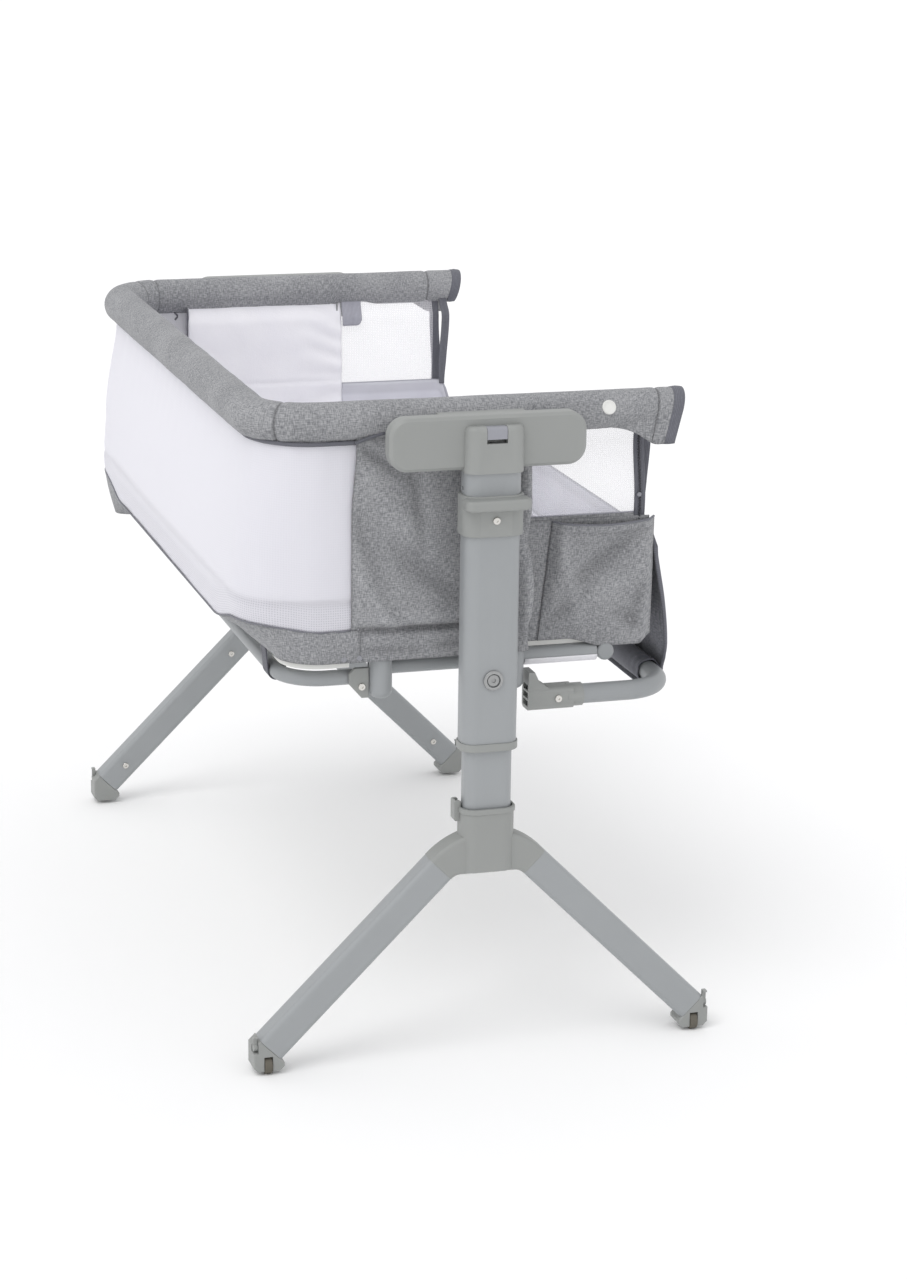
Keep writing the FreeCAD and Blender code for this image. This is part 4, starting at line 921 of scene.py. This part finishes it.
skirtAt, skirtLength = wallPath(-0.1400, low[0] + 0.003, high[1] - 0.003, 0.043)[:2]


def skirtPoint(u, v):
    # inner cloth from the knit down to the mattress edge, so no gap shows between them
    x, y, nx, ny = sideAt(u * sideLength)
    inset = 0.0022 - sideBulge(skirtTop, smooth(0.3, 1.0, abs(nx))) * 0.9
    farX, farY = skirtAt(u * skirtLength)[:2]
    dip = 0.006 * sin(pi * v)
    ripple = 0.0008 * sin(u * 90) * sin(pi * v)
    # tone: painted shade in the middle of its sag
    return (x - nx * inset + (farX - x + nx * inset) * v, y - ny * inset + (farY - y + ny * inset) * v,
            skirtTop - skirtDrop * v - dip + ripple, -0.04 * sin(pi * v))


skirt = makeSheet("mattressSkirt", skirtPoint, 200, 10, 0.98, 0.05, paleLining, 0.0010)
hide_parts("mattress")
rimLine = ringAt(high[2] - 0.0045, 0.0045)
rimLine.append(rimLine[0])
mattressPiping = makePiping("mattressPiping", rimLine, mattress["piping"], greyLining)
print("mattress done")


# small trims
badge = {"x": 0.143, "z": 0.707, "y": 0.4375, "radius": 0.0078}
tilt = atan2(0.007, 0.020)
badgeRings = [(badge["radius"] * share, height) for share, height in (
    (1, -0.001), (1, 0.0004), (0.93, 0.0011), (0.80, 0.0012), (0.76, 0.0009), (0.3, 0.0012),
    (0.0256, 0.0013))]
plainBadge = makeButton("plainRoundBadge", (badge["x"], -badge["y"], badge["z"]),
                        (0, -cos(tilt), sin(tilt)), badgeRings, whiteBoard)


label = {"x": 0.066, "length": 0.084, "width": 0.0145, "tubeY": 0.391, "tubeZ": 0.424, "radius": 0.0106}


def labelPoint(u, v):
    # wrapped round the lower front of the cross-tube
    angle = radians(-88 + 78 * v)
    return (label["x"] + u * label["length"], -label["tubeY"] - label["radius"] * cos(angle),
            label["tubeZ"] + label["radius"] * sin(angle), 0)


blankLabel = makeSheet("blankWovenLabel", labelPoint, 12, 10, label["length"], label["width"], paleLining,
                       0.0004)

snap = {"radius": 0.0030, "z": 0.4460}
for i, x in enumerate((-0.148, -0.131)):
    for word, end in bothEnds:
        stud = makeButton(word + "Snap" + str(i + 1), (x, -0.4338 * end, snap["z"]), (0, -end, 0),
                          [(snap["radius"] * share, height) for share, height in (
                              (1, -0.001), (1, 0.0006), (0.75, 0.0013), (0.55, 0.0009), (0.0667, 0.0008))],
                          buttonAbs)

strap = {"x": -0.205, "z": 0.4175, "radius": 0.0096, "width": 0.024}


def strapPoint(u, v, y):
    # down from the band, under the frame tube and up again
    if v < 0.3:
        t = v / 0.3
        x, z = strap["x"] - 0.0125 + 0.003 * t, 0.449 + (strap["z"] - 0.449) * t
    elif v > 0.7:
        t = (v - 0.7) / 0.3
        x, z = strap["x"] + strap["radius"] + 0.001 * t, strap["z"] + (0.443 - strap["z"]) * t
    else:
        a = pi * (v - 0.3) / 0.4
        x, z = strap["x"] - strap["radius"] * cos(a), strap["z"] - strap["radius"] * sin(a)
    return x, y + (u - 0.5) * strap["width"], z, -0.1


for i, y in enumerate((-0.352, 0.352)):
    loop = makeSheet("frameStrap" + str(i + 1), partial(strapPoint, y=y), 6, 40, strap["width"],
                     0.09, charcoalTape, 0.0012)


pullTab = {"x": 0.0668, "width": 0.026, "topZ": 0.688, "length": 0.031, "corner": 0.007}


def tabPoint(u, v, end):
    corner = pullTab["corner"] * (1 - sqrt(max(0, 1 - smooth(0.70, 1.0, u) ** 2)))
    x, z = pullTab["x"] + pullTab["width"] * u, pullTab["topZ"] - (pullTab["length"] - corner) * v
    return x, (-0.3923 + 0.0006 * v - underRoll(z)) * end, z, -0.06 * ridge(u - 0.5, 0.1)


for word, end in bothEnds:
    tab = makeSheet(word + "PullTab", partial(tabPoint, end=end), 16, 12, pullTab["width"],
                    pullTab["length"], lilacTape, 0.0016)
print("trims done")


# floor, light and camera
# matt painted studio floor, near white, so the object's shadow reads soft and pale
floorPaint = newFinish("mattStudioFloor", **{"Roughness": 0.95, "Specular IOR Level": 0.1,
                                             "Base Color": linear("#FCFCFC")})[0]
studio = {"floorHalf": 60, "world": 0.93, "sun": 0.75, "sunAngle": 34, "sunTilt": (32, -16, -30)}
floorMesh = bpy.data.meshes.new("studioFloor")
half = studio["floorHalf"]
floorMesh.from_pydata([(-half, -half, 0), (half, -half, 0), (half, half, 0), (-half, half, 0)], [],
                      [(0, 1, 2, 3)])
floorMesh.materials.append(floorPaint)
floor = bpy.data.objects.new("studioFloor", floorMesh)
scene.collection.objects.link(floor)

world = bpy.data.worlds.new("paleStudio")
world.use_nodes = True
world.node_tree.nodes["Background"].inputs["Color"].default_value = linear("#FCFCFD")
world.node_tree.nodes["Background"].inputs["Strength"].default_value = studio["world"]
scene.world = world
sun = bpy.data.objects.new("softSun", bpy.data.lights.new("softSun", "SUN"))
sun.data.energy = studio["sun"]
sun.data.angle = radians(studio["sunAngle"])
sun.rotation_euler = [radians(a) for a in studio["sunTilt"]]
scene.collection.objects.link(sun)
scene.view_settings.view_transform = "Standard"

shot = {"place": (-0.964, -3.518, 1.359), "yaw": 16.91, "pitch": 15.6, "roll": 0.77, "lens": 87.4}
yaw, pitch, roll = (radians(shot[key]) for key in ("yaw", "pitch", "roll"))
ahead = Vector((sin(yaw) * cos(pitch), cos(yaw) * cos(pitch), -sin(pitch)))
right = Vector((cos(yaw), -sin(yaw), 0))
up = right.cross(ahead)
level, lean = cos(roll), sin(roll)
rightRolled, upRolled = level * right + lean * up, level * up - lean * right
camera = bpy.data.objects.new("camera", bpy.data.cameras.new("camera"))
camera.data.lens = shot["lens"]
camera.matrix_world = Matrix.Translation(shot["place"]) @ Matrix(
    (rightRolled, upRolled, -ahead)).transposed().to_4x4()
scene.collection.objects.link(camera)
scene.camera = camera
